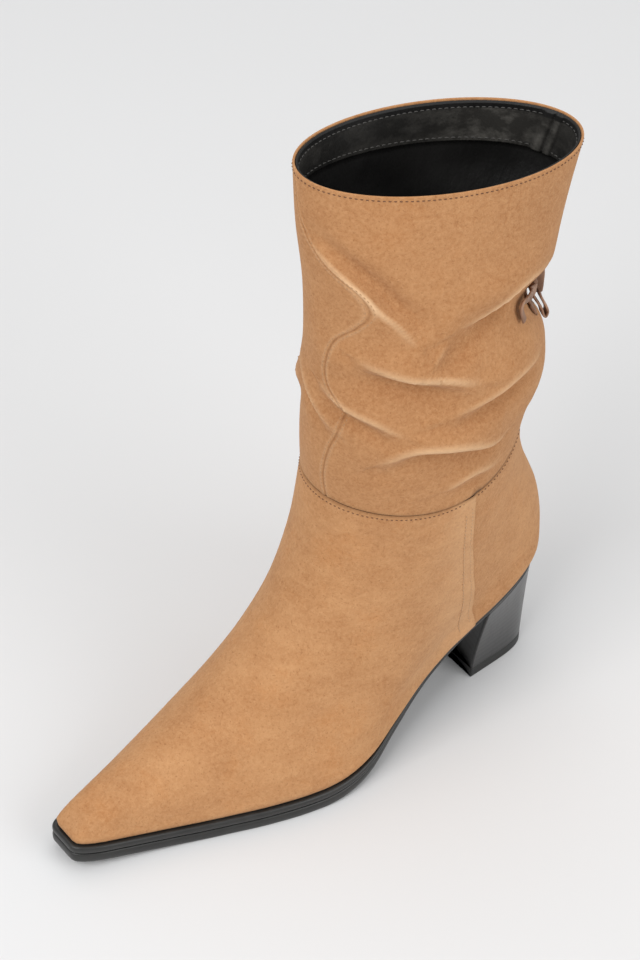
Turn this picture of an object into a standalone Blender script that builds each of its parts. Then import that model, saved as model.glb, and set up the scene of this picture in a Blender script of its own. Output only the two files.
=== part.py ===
"""A left slouch boot in suede, standing on a block heel.

Metres, +Z up. The toe points along -Y, the outer side of the foot is +X, and the
origin is the middle of the heel's bottom face, on the floor.
"""
import math

import bpy
import numpy as np

# Lengths and heights of the foot part.
TOE_REACH = 0.231
SEAT_REACH = 0.024
BALL_HALF = 0.0373
HEEL_HEIGHT = 0.0545
TOE_SPRING = 0.005
INSTEP_RISE = 0.136
COUNTER_RISE = 0.100

# Walls, plates and gaps.
WALL = 0.0022
GAP = 0.0003
RISER_GAP = 0.0005
OUTSOLE_THICK = 0.0050
OUTSOLE_THIN = 0.0019
WELT_THICK = 0.0040
WELT_THIN = 0.0010
WELT_WIDTH = 0.0050
LEDGE_WIDE = 0.0030
LEDGE_NARROW = 0.0001
GROOVE = 0.0007
INSOLE_THICK = 0.0025
INSOLE_EASE = 0.0008

# Block heel.
HEEL_BREAST = 0.0190
HEEL_BOTTOM_HALF = 0.0190
HEEL_BOTTOM_BACK = 0.0205
HEEL_SWING = math.radians(4)
BREAST_HOLLOW = 0.0030
TOP_PIECE_THICK = 0.0055

# Slouch shaft.
SHAFT_TOP = 0.3005
COLLAR_DROP = 0.005
COLLAR_HALF_LENGTH = 0.0620
COLLAR_HALF_WIDTH = 0.0320

# Tie at the back: a strap in the deepest fold, with a knot, two loops and two ends.
STRAP_THICK = 0.0012
STRAP_WIDTH = 0.0050
STRAP_CLEAR = 0.0004
TIE_FOLD_RING = 10
TIE_FIRST = 20
TIE_LAST = 33
TIE_EDGES = (0.12, 0.88)
KNOT_CENTRE = (0.0086, 0.0047, 0.2185)
KNOT_SIZE = (0.0082, 0.0042, 0.0068)
KNOT_TURN = math.radians(-20)
STRAP_STEPS = 18

# Mesh fineness.
AROUND = 52
END_CROWDING = 0.35
RING_CROWDING = 0.7
OUTLINE_STEPS = 181
FOOT_RINGS = 15
SHAFT_RINGS = 26
HEEL_AROUND = 32
BREAST_STEPS = 4
HEEL_LEVELS = (0.0, 0.35, 0.7, 1.0)
HEEL_FLARE = 1.3

# Name of the collection.
BOOT = "slouch_boot"

# Feather line, where the upper meets the welt: share of the way from toe to back,
# then half width and centre line as shares of BALL_HALF.
OUTLINE = (
    # along, half, centre
    (0.000, 0.160, -0.095),
    (0.010, 0.228, -0.083),
    (0.035, 0.292, -0.072),
    (0.085, 0.391, -0.070),
    (0.170, 0.571, -0.067),
    (0.250, 0.737, -0.040),
    (0.330, 0.887, 0.000),
    (0.400, 0.976, 0.037),
    (0.465, 1.000, 0.072),
    (0.525, 0.944, 0.096),
    (0.600, 0.805, 0.095),
    (0.680, 0.700, 0.080),
    (0.760, 0.690, 0.045),
    (0.840, 0.724, 0.000),
    (0.905, 0.705, -0.059),
    (0.955, 0.590, -0.096),
    (0.985, 0.375, -0.120),
    (1.000, 0.000, -0.134),
)

# Underside of the outsole: share of the way from toe to back, the height as a
# share of TOE_SPRING and of HEEL_HEIGHT, and how far the plates are at full thickness.
SOLE_LINE = (
    # along, spring, heel, thick
    (0.000, 1.00, 0.000, 1.0),
    (0.100, 0.42, 0.000, 1.0),
    (0.200, 0.06, 0.000, 1.0),
    (0.270, 0.00, 0.000, 1.0),
    (0.430, 0.00, 0.000, 1.00),
    (0.510, 0.00, 0.065, 0.85),
    (0.590, 0.00, 0.250, 0.45),
    (0.670, 0.00, 0.490, 0.15),
    (0.750, 0.00, 0.710, 0.0),
    (0.830, 0.00, 0.890, 0.0),
    (0.905, 0.00, 1.000, 0.0),
    (1.000, 0.00, 1.095, 0.0),
)

# Rings of the foot part above the feather line, up to the ankle seam. The tip is on
# the ridge of the vamp: its place is a share of TOE_REACH, its height over the feather
# line a share of INSTEP_RISE. The back is on the heel curve, with shares of SEAT_REACH
# and COUNTER_RISE. Half, tip_x and back_x are shares of BALL_HALF. Front and rear say
# how blunt the ends are (0.5 is round), outline how far the ring keeps the feather
# line's shape, follow how far it keeps its rise, sag how far its sides dip.
FOOT_TABLE = (
    # rise, tip_y, tip_rise, back_y, back_rise, half, tip_x, back_x, front, rear, outline, follow, sag
    (0.08, -0.998, 0.035, 1.10, 0.07, 1.03, -0.09, -0.13, 0.50, 0.50, 1.00, 1.00, 0.00),
    (0.18, -0.970, 0.085, 1.13, 0.15, 1.02, -0.08, -0.13, 0.66, 0.46, 0.80, 0.95, 0.00),
    (0.30, -0.888, 0.145, 1.10, 0.24, 1.02, -0.07, -0.12, 0.64, 0.46, 0.45, 0.85, 0.00),
    (0.43, -0.765, 0.236, 0.98, 0.35, 1.01, -0.06, -0.11, 0.62, 0.46, 0.20, 0.70, 0.00),
    (0.57, -0.645, 0.350, 0.78, 0.47, 1.00, -0.05, -0.10, 0.58, 0.47, 0.08, 0.50, 0.00),
    (0.71, -0.534, 0.520, 0.54, 0.61, 1.01, -0.05, -0.09, 0.53, 0.48, 0.00, 0.30, 0.02),
    (0.85, -0.462, 0.745, 0.32, 0.79, 1.04, -0.06, -0.08, 0.50, 0.50, 0.00, 0.15, 0.055),
    (1.00, -0.430, 1.000, 0.18, 1.00, 1.06, -0.07, -0.07, 0.50, 0.50, 0.00, 0.00, 0.075),
)

# Rings of the shaft from the ankle seam to the collar: height and side shift as
# shares of the way up and of COLLAR_HALF_WIDTH, half sizes as shares of the collar's.
SHAFT_TABLE = (
    # rise, shift_x, shift_y, length, width, turn
    (0.12, -0.06, -0.750, 0.88, 1.24, 0.0),
    (0.28, -0.03, -0.727, 0.902, 1.28, 2.0),
    (0.48, -0.06, -0.715, 0.89, 1.18, 6.0),
    (0.66, -0.10, -0.690, 0.91, 1.10, 10.0),
    (0.84, -0.17, -0.660, 0.96, 1.04, 14.0),
    (1.00, -0.22, -0.620, 0.99, 1.00, 18.0),
)

# Main folds of the shaft. Each runs along a path of places, in turns around from the
# front by the outer side, and in shares of the rise from ankle seam to collar. Ridge is
# its height in the middle (a trough where under 0), lip how far its upper edge stands
# out over its lower edge.
FOLD_TABLE = (
    # name, width, ridge, lip, path
    ("back pinch", 0.0112, -0.0100, 0.0040,
     ((0.70, 0.34), (0.60, 0.41), (0.50, 0.44), (0.43, 0.47), (0.36, 0.55), (0.29, 0.59))),
    ("outer pinch", 0.0090, -0.0015, 0.0030, ((0.33, 0.62), (0.28, 0.63), (0.23, 0.59), (0.18, 0.48))),
    ("back bulge", 0.0120, 0.0025, 0.0000, ((0.30, 0.25), (0.40, 0.21), (0.55, 0.19), (0.66, 0.18))),
    ("outer ridge", 0.0080, 0.0020, 0.0025, ((0.04, 0.47), (0.13, 0.49), (0.20, 0.44), (0.27, 0.37))),
    ("low ridge", 0.0075, 0.0015, 0.0020, ((0.10, 0.18), (0.17, 0.23), (0.22, 0.22), (0.28, 0.16))),
    ("inner ridge", 0.0090, 0.0025, 0.0040, ((0.58, 0.22), (0.68, 0.20), (0.80, 0.23), (0.90, 0.27))),
)
FOLD_STEPS = 40

# Cross-section of a strap: shares of its half width and of its half thickness.
STRAP_SECTION = (
    # wide, thick
    (1.0, 0.5), (0.9, 1.0), (-0.9, 1.0), (-1.0, 0.5),
    (-1.0, -0.5), (-0.9, -1.0), (0.9, -1.0), (1.0, -0.5),
)

# Loops and ends of the tie: the directions across the strap where it starts and where
# it ends, then the route's points.
STRAP_TABLE = (
    # name, across at the start, across at the end, route
    ("tie_loop_back", (0.59, 0.81, 0), (0.59, 0.81, 0),
     ((0.0062, 0.0087, 0.2205), (0.0046, 0.0118, 0.2205), (0.0033, 0.0138, 0.2160),
      (0.0030, 0.0141, 0.2105), (0.0028, 0.0141, 0.2065), (0.0016, 0.0149, 0.2048),
      (0.0004, 0.0158, 0.2068), (0.0002, 0.0159, 0.2120), (0.0010, 0.0145, 0.2165),
      (0.0030, 0.0112, 0.2180), (0.0054, 0.0072, 0.2180))),
    ("tie_loop_outer", (0.93, -0.35, 0), (0.93, -0.35, 0),
     ((0.0100, 0.0072, 0.2154), (0.0103, 0.0082, 0.2120), (0.0103, 0.0102, 0.2080),
      (0.0102, 0.0124, 0.2040), (0.0100, 0.0137, 0.2006), (0.0097, 0.0132, 0.1982),
      (0.0095, 0.0119, 0.1992), (0.0094, 0.0106, 0.2030), (0.0093, 0.0084, 0.2070),
      (0.0091, 0.0060, 0.2110), (0.0090, 0.0046, 0.2144))),
    ("tie_end_outer", (0, 0, 1), (0.6, -0.75, 0.1),
     ((0.0130, 0.0029, 0.2186), (0.0165, -0.0027, 0.2220), (0.0208, -0.0068, 0.2255),
      (0.0242, -0.0118, 0.2280), (0.0266, -0.0166, 0.2290), (0.0282, -0.0186, 0.2270),
      (0.0299, -0.0182, 0.2228))),
    ("tie_end_inner", (0.99, 0.1, 0), (0.99, 0.1, 0),
     ((0.0034, 0.0070, 0.2156), (0.0016, 0.0075, 0.2125), (-0.0006, 0.0085, 0.2090),
      (-0.0022, 0.0105, 0.2045), (-0.0032, 0.0120, 0.2000), (-0.0038, 0.0128, 0.1955),
      (-0.0042, 0.0134, 0.1905), (-0.0044, 0.0136, 0.1860))),
)
SUEDE_TAN = (0.60, 0.33, 0.15, 1)
SOLE_BLACK = (0.020, 0.020, 0.019, 1)
HEEL_BLACK = (0.016, 0.016, 0.016, 1)
LINING_BLACK = (0.010, 0.009, 0.008, 1)
TIE_BROWN = (0.25, 0.13, 0.08, 1)


def clear_scene():
    """Empty the scene of objects."""
    for item in list(bpy.data.objects):
        bpy.data.objects.remove(item, do_unlink=True)


def material(name, color, roughness):
    """A plain Principled material."""
    made = bpy.data.materials.new(name)
    made.use_nodes = True
    shader = made.node_tree.nodes["Principled BSDF"]
    shader.inputs["Base Color"].default_value = color
    shader.inputs["Roughness"].default_value = roughness
    return made


def spline(knots, values, at):
    """Smooth curve through the values at the knots, read at the given places."""
    knots = np.asarray(knots, float)
    values = np.asarray(values, float)
    at = np.asarray(at, float)
    slopes = np.gradient(values, knots, axis=0)
    low = np.clip(np.searchsorted(knots, at, side="right") - 1, 0, len(knots) - 2)
    shape = (-1,) + (1,) * (values.ndim - 1)
    step = (knots[low + 1] - knots[low]).reshape(shape)
    t = (at - knots[low]).reshape(shape) / step
    start = (1 + 2 * t) * (1 - t) ** 2 * values[low] + t * (1 - t) ** 2 * step * slopes[low]
    end = t * t * (3 - 2 * t) * values[low + 1] + t * t * (t - 1) * step * slopes[low + 1]
    return start + end


def column(table, index):
    """One column of a table."""
    return np.array([row[index] for row in table])


def sweep_of(along):
    """Angle from the toe (0) over the side to the back (pi) at a share of the length."""
    return np.arccos(1 - 2 * np.clip(along, 0, 1))


def share_at(y):
    """Share of the way from toe to back at a place along the foot."""
    return np.clip((y + TOE_REACH) / (TOE_REACH + SEAT_REACH), 0, 1)


def outline_half(along):
    """Half width of the feather line."""
    return BALL_HALF * spline(sweep_of(column(OUTLINE, 0)), column(OUTLINE, 1), sweep_of(along))


def outline_centre(along):
    """Centre line of the feather line."""
    return BALL_HALF * spline(sweep_of(column(OUTLINE, 0)), column(OUTLINE, 2), sweep_of(along))


def sole_bottom(y):
    """Height of the outsole's underside."""
    along = share_at(y)
    spring = spline(column(SOLE_LINE, 0), column(SOLE_LINE, 1), along)
    heel = spline(column(SOLE_LINE, 0), column(SOLE_LINE, 2), along)
    return TOE_SPRING * np.maximum(spring, 0) + HEEL_HEIGHT * np.maximum(heel, 0)


def thickness(y, thin, thick):
    """A plate's thickness, full in the forefoot and thin under waist and seat."""
    full = spline(column(SOLE_LINE, 0), column(SOLE_LINE, 3), share_at(y))
    return thin + (thick - thin) * np.clip(full, 0, 1)


def welt_bottom(y):
    """Height of the welt's underside, a gap above the outsole's rim."""
    return sole_bottom(y) + thickness(y, OUTSOLE_THIN, OUTSOLE_THICK) + GAP


def feather_height(y):
    """Height of the welt's upper face, which carries the upper."""
    return welt_bottom(y) + thickness(y, WELT_THIN, WELT_THICK)


def even_side(x, y, count, crowding=0.0):
    """Points of one side, from tip to back, evenly spaced or crowded towards its ends."""
    run = np.concatenate(([0], np.cumsum(np.hypot(np.diff(x), np.diff(y)))))
    turn = 2 * math.pi * np.linspace(0, 1, count + 1)
    places = run[-1] * (turn - crowding * np.sin(turn)) / (2 * math.pi)
    return np.interp(places, run, x), np.interp(places, run, y)


def closed_loop(outer, inner):
    """A loop from its two sides: tip, outer side, back, inner side."""
    x = np.concatenate((outer[0], inner[0][-2:0:-1]))
    y = np.concatenate((outer[1], inner[1][-2:0:-1]))
    return x, y


def closed_ring(centre, half, y):
    """A loop from its centre line and half widths along the foot."""
    sides = []
    for side in (1, -1):
        x = np.concatenate(([centre[0]], centre + side * half))
        sides.append(even_side(x, np.concatenate(([y[0]], y)), AROUND // 2, END_CROWDING))
    return closed_loop(*sides)


def outline_side(side, outset):
    """One side of the feather line, moved outwards square to itself by outset(y)."""
    along = (1 - np.cos(np.linspace(0, math.pi, OUTLINE_STEPS))) / 2
    half = np.concatenate(([0], outline_half(along)))
    centre = outline_centre(along)
    x = side * centre[[0, *range(OUTLINE_STEPS)]] + half
    y = (TOE_REACH + SEAT_REACH) * along - TOE_REACH
    x, y = even_side(x, np.concatenate(([y[0]], y)), OUTLINE_STEPS - 1)
    step_x = np.gradient(x)
    step_y = np.gradient(y)
    out = outset(y)
    run = np.hypot(step_x, step_y)
    moved_x = x + out * step_y / run
    moved_y = y - out * step_x / run
    moved_y[[0, -1]] = y[0] - out[0], y[-1] + out[-1]
    # Moved inwards, the flat toe ends where the moved side crosses it.
    flank = step_y > abs(step_x)
    moved_x = np.minimum(moved_x, np.interp(moved_y, moved_y[flank], moved_x[flank]))
    moved_x[[0, -1]] = x[[0, -1]]
    return even_side(side * moved_x, moved_y, AROUND // 2, END_CROWDING)


def outline_ring(outset):
    """The feather line moved outwards by a function of the place along the foot."""
    return closed_loop(outline_side(1, outset), outline_side(-1, outset))


def inset_ring(inset):
    """The feather line moved inwards by a length."""
    return outline_ring(lambda y: -inset + 0 * y)


def foot_ring(row):
    """One ring of the foot part, from its row."""
    (_, tip_y, tip_rise, back_y, back_rise, half, tip_x, back_x,
     front, rear, outline, follow, sag) = row
    sweep = np.linspace(0, math.pi, OUTLINE_STEPS)
    along = (1 - np.cos(sweep)) / 2
    tip = tip_y * TOE_REACH
    length = back_y * SEAT_REACH - tip
    peak = front / (front + rear)
    bell = along ** front * (1 - along) ** rear / (peak ** front * (1 - peak) ** rear)
    width = half * (outline * outline_half(along) + (1 - outline) * BALL_HALF * bell)
    straight = BALL_HALF * (tip_x + (back_x - tip_x) * along)
    centre = outline * outline_centre(along) + (1 - outline) * straight
    x, y = closed_ring(centre, width, tip + length * along)
    share = (y - tip) / length
    tip_feather = feather_height(tip)
    back_feather = feather_height(tip + length)
    low = tip_feather + tip_rise * INSTEP_RISE
    high = back_feather + back_rise * COUNTER_RISE
    sole = feather_height(y) - tip_feather - share * (back_feather - tip_feather)
    dip = sag * INSTEP_RISE * np.sin(math.pi * share)
    return np.stack((x, y, low + (high - low) * share + follow * sole - dip), axis=1)


def foot_rings(places):
    """Rings of the foot part at places from the feather line (0) to the ankle seam (1)."""
    x, y = inset_ring(0)
    rings = [np.stack((x, y, feather_height(y) + GAP), axis=1)]
    rings += [foot_ring(row) for row in FOOT_TABLE]
    return spline(np.concatenate(([0], column(FOOT_TABLE, 0))), rings, places)


def around_angles():
    """Angles around the shaft from the front by the outer side, as the rings' points go."""
    half = math.pi * np.linspace(0, 1, AROUND // 2 + 1)
    half = half - END_CROWDING * RING_CROWDING * np.sin(2 * half) / 2
    return np.concatenate((half, 2 * math.pi - half[-2:0:-1]))


def shaft_ring(row, ankle):
    """One ring of the shaft, from its row, over the ankle seam's ring."""
    rise, shift_x, shift_y, length, width, turn = row
    around = around_angles()
    x = COLLAR_HALF_WIDTH * width * np.sin(around)
    y = -COLLAR_HALF_LENGTH * length * np.cos(around)
    angle = math.radians(turn)
    turned_x = x * math.cos(angle) + y * math.sin(angle)
    turned_y = y * math.cos(angle) - x * math.sin(angle)
    top = SHAFT_TOP - COLLAR_DROP * (1 - np.cos(around)) / 2
    height = ankle[:, 2] + (top - ankle[:, 2]) * rise
    return np.stack((turned_x + COLLAR_HALF_WIDTH * shift_x,
                     turned_y + COLLAR_HALF_LENGTH * shift_y, height), axis=1)


def outward(grid):
    """Outward normals of a closed grid of rings."""
    around = np.roll(grid, -1, axis=1) - np.roll(grid, 1, axis=1)
    up = np.gradient(grid, axis=0)
    normal = np.cross(around, up)
    return normal / np.linalg.norm(normal, axis=2, keepdims=True)


def fold_depth(around, rise, girth, height):
    """Depth of all folds at places of the shaft, around and rise as in FOLD_TABLE."""
    around, rise = np.broadcast_arrays(around, rise)
    depth = np.zeros(around.shape)
    for _, width, ridge, lip, path in FOLD_TABLE:
        steps = np.linspace(0, 1, FOLD_STEPS)
        line = spline(np.linspace(0, 1, len(path)), path, steps)
        away = ((around[..., None] - line[:, 0] + 0.5) % 1 - 0.5) * girth
        above = (rise[..., None] - line[:, 1]) * height
        distance = np.hypot(away, above)
        nearest = distance.argmin(axis=-1)
        pick = nearest[..., None]
        off = np.take_along_axis(distance, pick, -1)[..., 0] / width
        over = np.take_along_axis(above, pick, -1)[..., 0] / width
        fade = np.sin(math.pi * (0.1 + 0.8 * steps[nearest]))
        depth = depth + fade * (ridge + lip * over) * np.exp(-off ** 2)
    return depth


def shaft_rings(places):
    """Rings of the shaft at places from the ankle seam (0) to the collar (1)."""
    ankle = foot_rings([1.0])[0] + [0, 0, GAP]
    rings = [ankle] + [shaft_ring(row, ankle) for row in SHAFT_TABLE]
    grid = spline(np.concatenate(([0], column(SHAFT_TABLE, 0))), rings, places)
    around = around_angles()[None, :] / (2 * math.pi)
    rise = np.asarray(places)[:, None]
    girth = math.pi * (COLLAR_HALF_LENGTH + COLLAR_HALF_WIDTH)
    depth = fold_depth(around, rise, girth, SHAFT_TOP - ankle[:, 2].mean())
    return grid + outward(grid) * depth[:, :, None]


def ring_faces(rings, around, loop=False):
    """Faces between rings that follow each other, outwards when the rings climb."""
    faces = []
    for ring in range(rings if loop else rings - 1):
        low = ring * around
        high = (ring + 1) % rings * around
        for place in range(around):
            after = (place + 1) % around
            faces.append((low + place, low + after, high + after, high + place))
    return faces


def cap_faces(first, around):
    """Strips across a ring, facing up."""
    faces = []
    for place in range(around // 2):
        corners = (place, place + 1, around - place - 1, around - place)
        faces.append(tuple(dict.fromkeys(first + corner % around for corner in corners)))
    return faces


def add_mesh(name, grid, faces, look):
    """A mesh object from a grid of rings and its faces."""
    mesh = bpy.data.meshes.new(name)
    mesh.from_pydata(grid.reshape(-1, 3).tolist(), [], faces)
    mesh.materials.append(look)
    made = bpy.data.objects.new(name, mesh)
    bpy.data.collections[BOOT].objects.link(made)
    return made


def capped_stack(name, rings, look):
    """A closed solid from rings that climb, with both ends filled."""
    grid = np.array(rings)
    count, around = grid.shape[:2]
    bottom = [face[::-1] for face in cap_faces(0, around)]
    top = cap_faces((count - 1) * around, around)
    return add_mesh(name, grid, ring_faces(count, around) + bottom + top, look)


def shell(name, rings, look):
    """A hollow solid open at both ends: the rings' surface with the wall inside it."""
    grid = np.array(rings)
    made = add_mesh(name, grid, ring_faces(*grid.shape[:2]), look)
    wall = made.modifiers.new("wall", "SOLIDIFY")
    wall.thickness = WALL
    wall.offset = -1
    wall.use_even_offset = True
    wall.use_quality_normals = True
    return made


def lifted(ring, height_of):
    """A plan ring with the height that a function gives along the foot."""
    x, y = ring
    return np.stack((x, y, height_of(y)), axis=1)


def ledge(share):
    """How far the sole stands out past the feather line, less a share of the groove."""
    return lambda y: thickness(y, LEDGE_NARROW, LEDGE_WIDE) - share * GROOVE


def build_outsole(look):
    """Full-length outsole: its rim carries the welt, its middle stands up inside it."""
    def under(y):
        return sole_bottom(y)

    def level(share):
        return lambda y: sole_bottom(y) + share * thickness(y, OUTSOLE_THIN, OUTSOLE_THICK)

    inner = inset_ring(WELT_WIDTH)
    rings = (
        lifted(outline_ring(ledge(1)), under),
        lifted(outline_ring(ledge(0)), level(0.2)),
        lifted(outline_ring(ledge(0)), level(0.8)),
        lifted(outline_ring(ledge(1)), level(1.0)),
        lifted(inner, level(1.0)),
        lifted(inner, feather_height),
    )
    return capped_stack("outsole", rings, look)


def build_welt(look):
    """Welt strip all round, with a bead at its outer edge."""
    def level(share):
        return lambda y: welt_bottom(y) + share * thickness(y, WELT_THIN, WELT_THICK)

    inner = inset_ring(WELT_WIDTH - RISER_GAP)
    grid = np.array((
        lifted(inner, level(0.0)),
        lifted(outline_ring(ledge(1)), level(0.0)),
        lifted(outline_ring(ledge(0)), level(0.25)),
        lifted(outline_ring(ledge(0)), level(0.70)),
        lifted(outline_ring(ledge(1)), level(1.0)),
        lifted(inner, level(1.0)),
    ))
    return add_mesh("welt", grid, ring_faces(*grid.shape[:2], loop=True), look)


def build_insole(look):
    """Insole board inside the upper."""
    def above(height):
        return lambda y: feather_height(y) + GAP + height

    rings = (
        lifted(inset_ring(WALL + INSOLE_EASE), above(0)),
        lifted(inset_ring(WALL + INSOLE_EASE), above(INSOLE_THICK / 2)),
        lifted(inset_ring(WALL + 2 * INSOLE_EASE), above(INSOLE_THICK)),
    )
    return capped_stack("insole", rings, look)


def heel_ring(half, centre, y, height_of):
    """A ring of the block heel: hollow breast, sides and round back."""
    breast = np.linspace(0, 1, BREAST_STEPS + 1)
    sides = []
    for side in (1, -1):
        front_x = centre[0] + side * half[0] * breast
        front_y = y[0] + BREAST_HOLLOW * (1 - breast ** 2)
        x, back_y = even_side(centre + side * half, y, HEEL_AROUND // 2 - BREAST_STEPS)
        sides.append((np.concatenate((front_x, x[1:])), np.concatenate((front_y, back_y[1:]))))
    outer, inner = sides
    return lifted((np.concatenate((outer[0], inner[0][-2:0:-1])),
                   np.concatenate((outer[1], inner[1][-2:0:-1]))), height_of)


def heel_top():
    """The heel's upper ring, under the outsole's seat."""
    start = sweep_of(share_at(-HEEL_BREAST))
    along = (1 - np.cos(np.linspace(start, math.pi, 91))) / 2
    y = (TOE_REACH + SEAT_REACH) * along - TOE_REACH
    return heel_ring(outline_half(along), outline_centre(along), y,
                     lambda place: sole_bottom(place) - GAP)


def heel_bottom(height):
    """The heel's lower outline at a height."""
    share = np.sin(np.linspace(0, math.pi / 2, 91))
    half = HEEL_BOTTOM_HALF * (1 - share ** 6) ** (1 / 3)
    run = (HEEL_BREAST + HEEL_BOTTOM_BACK) * share
    return heel_ring(half, -math.tan(HEEL_SWING) * run, run - HEEL_BREAST,
                     lambda place: height + 0 * place)


def build_heel(look):
    """Block heel, flaring towards the seat."""
    low = heel_bottom(TOP_PIECE_THICK + GAP)
    high = heel_top()
    rings = []
    for share in HEEL_LEVELS:
        flare = np.array((share ** HEEL_FLARE, share ** HEEL_FLARE, share))
        rings.append(low + (high - low) * flare)
    return capped_stack("heel", rings, look)


def build_top_piece(look):
    """Hard-wearing piece at the bottom of the heel."""
    return capped_stack("top_piece", (heel_bottom(0), heel_bottom(TOP_PIECE_THICK)), look)


def build_upper(look):
    """Vamp and quarters, hollow, open underneath and at the ankle."""
    return shell("upper", foot_rings(np.linspace(0, 1, FOOT_RINGS)), look)


def build_shaft(look):
    """Slouch shaft with its main folds, open at the ankle and at the collar."""
    return shell("shaft", shaft_rings(np.linspace(0, 1, SHAFT_RINGS)), look)


def build_tie_bar(look):
    """Strap of the tie, in the fold at the back, on the shaft's own faces."""
    grid = shaft_rings(np.linspace(0, 1, SHAFT_RINGS))
    normals = outward(grid)
    low, high = TIE_FOLD_RING, TIE_FOLD_RING + 1
    rings = []
    for place in range(TIE_FIRST, TIE_LAST + 1):
        edges = []
        for share in TIE_EDGES:
            point = grid[low, place] + (grid[high, place] - grid[low, place]) * share
            normal = normals[low, place] + (normals[high, place] - normals[low, place]) * share
            edges.append((point + normal * STRAP_CLEAR, point + normal * (STRAP_CLEAR + STRAP_THICK)))
        (low_in, low_out), (high_in, high_out) = edges
        rings.append((high_out, low_out, low_in, high_in))
    return capped_stack("tie_bar", rings, look)


def build_knot(look):
    """Knot of the tie, on the strap."""
    bpy.ops.mesh.primitive_uv_sphere_add(segments=12, ring_count=8, radius=0.5, location=KNOT_CENTRE,
                                         rotation=(0, 0, KNOT_TURN), scale=KNOT_SIZE)
    made = bpy.context.object
    made.name = "tie_knot"
    made.data.materials.append(look)
    for owner in made.users_collection:
        owner.objects.unlink(made)
    bpy.data.collections[BOOT].objects.link(made)
    return made


def build_strap(name, first_across, last_across, route, look):
    """A flat strap along a smooth curve through the route's points."""
    knots = np.linspace(0, 1, len(route))
    share = np.linspace(0, 1, STRAP_STEPS)
    line = spline(knots, route, share)
    across = np.array(first_across) * (1 - share[:, None]) + np.array(last_across) * share[:, None]
    ahead = np.gradient(line, axis=0)
    ahead /= np.linalg.norm(ahead, axis=1, keepdims=True)
    side = across - ahead * np.sum(ahead * across, axis=1, keepdims=True)
    side *= STRAP_WIDTH / 2 / np.linalg.norm(side, axis=1, keepdims=True)
    face = np.cross(ahead, side) * STRAP_THICK / STRAP_WIDTH
    rings = np.stack([line + side * wide + face * thick for wide, thick in STRAP_SECTION], axis=1)
    return capped_stack(name, rings, look)


def build():
    """The whole boot."""
    clear_scene()
    collection = bpy.data.collections.new(BOOT)
    bpy.context.scene.collection.children.link(collection)
    suede = material("suede", SUEDE_TAN, 0.95)
    sole = material("sole_rubber", SOLE_BLACK, 0.5)
    heel = material("heel_gloss", HEEL_BLACK, 0.15)
    lining = material("lining_leather", LINING_BLACK, 0.45)
    strap = material("tie_strap", TIE_BROWN, 0.6)
    build_outsole(sole)
    build_welt(sole)
    build_insole(lining)
    build_heel(heel)
    build_top_piece(sole)
    build_upper(suede)
    build_shaft(suede)
    build_tie_bar(strap)
    build_knot(strap)
    for name, first_across, last_across, route in STRAP_TABLE:
        build_strap(name, first_across, last_across, route, strap)


build()
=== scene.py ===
"""Looks of a left slouch boot in suede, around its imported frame.

Metres, in the frame of the CAD: +Z up, the toe points along -Y, the outer side is +X,
and the origin is the middle of the heel's bottom face. The suede skins, the lining and
the sole are read from the same tables of sections as the solids, on a finer grid.
"""

import math

import bpy
import numpy as np
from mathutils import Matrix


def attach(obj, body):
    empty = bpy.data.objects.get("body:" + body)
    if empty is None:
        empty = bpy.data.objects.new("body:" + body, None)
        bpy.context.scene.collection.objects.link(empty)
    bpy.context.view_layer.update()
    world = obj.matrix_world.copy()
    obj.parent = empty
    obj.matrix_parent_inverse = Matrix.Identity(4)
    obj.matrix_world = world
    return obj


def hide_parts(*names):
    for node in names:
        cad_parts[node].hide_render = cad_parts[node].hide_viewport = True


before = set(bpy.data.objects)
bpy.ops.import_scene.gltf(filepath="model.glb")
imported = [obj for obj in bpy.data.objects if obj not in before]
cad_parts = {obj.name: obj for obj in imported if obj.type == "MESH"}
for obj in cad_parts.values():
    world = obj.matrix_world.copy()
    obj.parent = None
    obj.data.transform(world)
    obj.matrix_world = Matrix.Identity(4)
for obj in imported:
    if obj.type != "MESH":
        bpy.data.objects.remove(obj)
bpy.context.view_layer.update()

# Camera: how far it looks down, the boot's turn under it, its distance from the point
# of the floor that it looks at, and that point.
CAMERA_DOWN = math.radians(42)
CAMERA_TURN = math.radians(54)
CAMERA_REACH = 1.400
CAMERA_AIM = (-0.18479, -0.02563, 0.0)
SENSOR = 36.0
FULL_LENS = 74.25
FRAMING = 1.38
FRAMING_SHIFT = (0.0880, -0.0245)

# Lengths and heights of the foot part.
TOE_REACH = 0.231
SEAT_REACH = 0.024
BALL_HALF = 0.0373
HEEL_HEIGHT = 0.0545
TOE_SPRING = 0.005
INSTEP_RISE = 0.136
COUNTER_RISE = 0.100

# Walls, plates and gaps.
WALL = 0.0022
GAP = 0.0003
RISER_GAP = 0.0005
OUTSOLE_THICK = 0.0050
OUTSOLE_THIN = 0.0019
WELT_THICK = 0.0040
WELT_THIN = 0.0010
WELT_WIDTH = 0.0050
LEDGE_WIDE = 0.0030
LEDGE_NARROW = 0.0001
GROOVE = 0.0007

# Block heel.
HEEL_BREAST = 0.0190
HEEL_BOTTOM_HALF = 0.0190
HEEL_BOTTOM_BACK = 0.0205
HEEL_SWING = math.radians(4)
BREAST_HOLLOW = 0.0030
TOP_PIECE_THICK = 0.0055

# Slouch shaft.
SHAFT_TOP = 0.3005
COLLAR_DROP = 0.005
COLLAR_HALF_LENGTH = 0.0620
COLLAR_HALF_WIDTH = 0.0320

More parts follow.
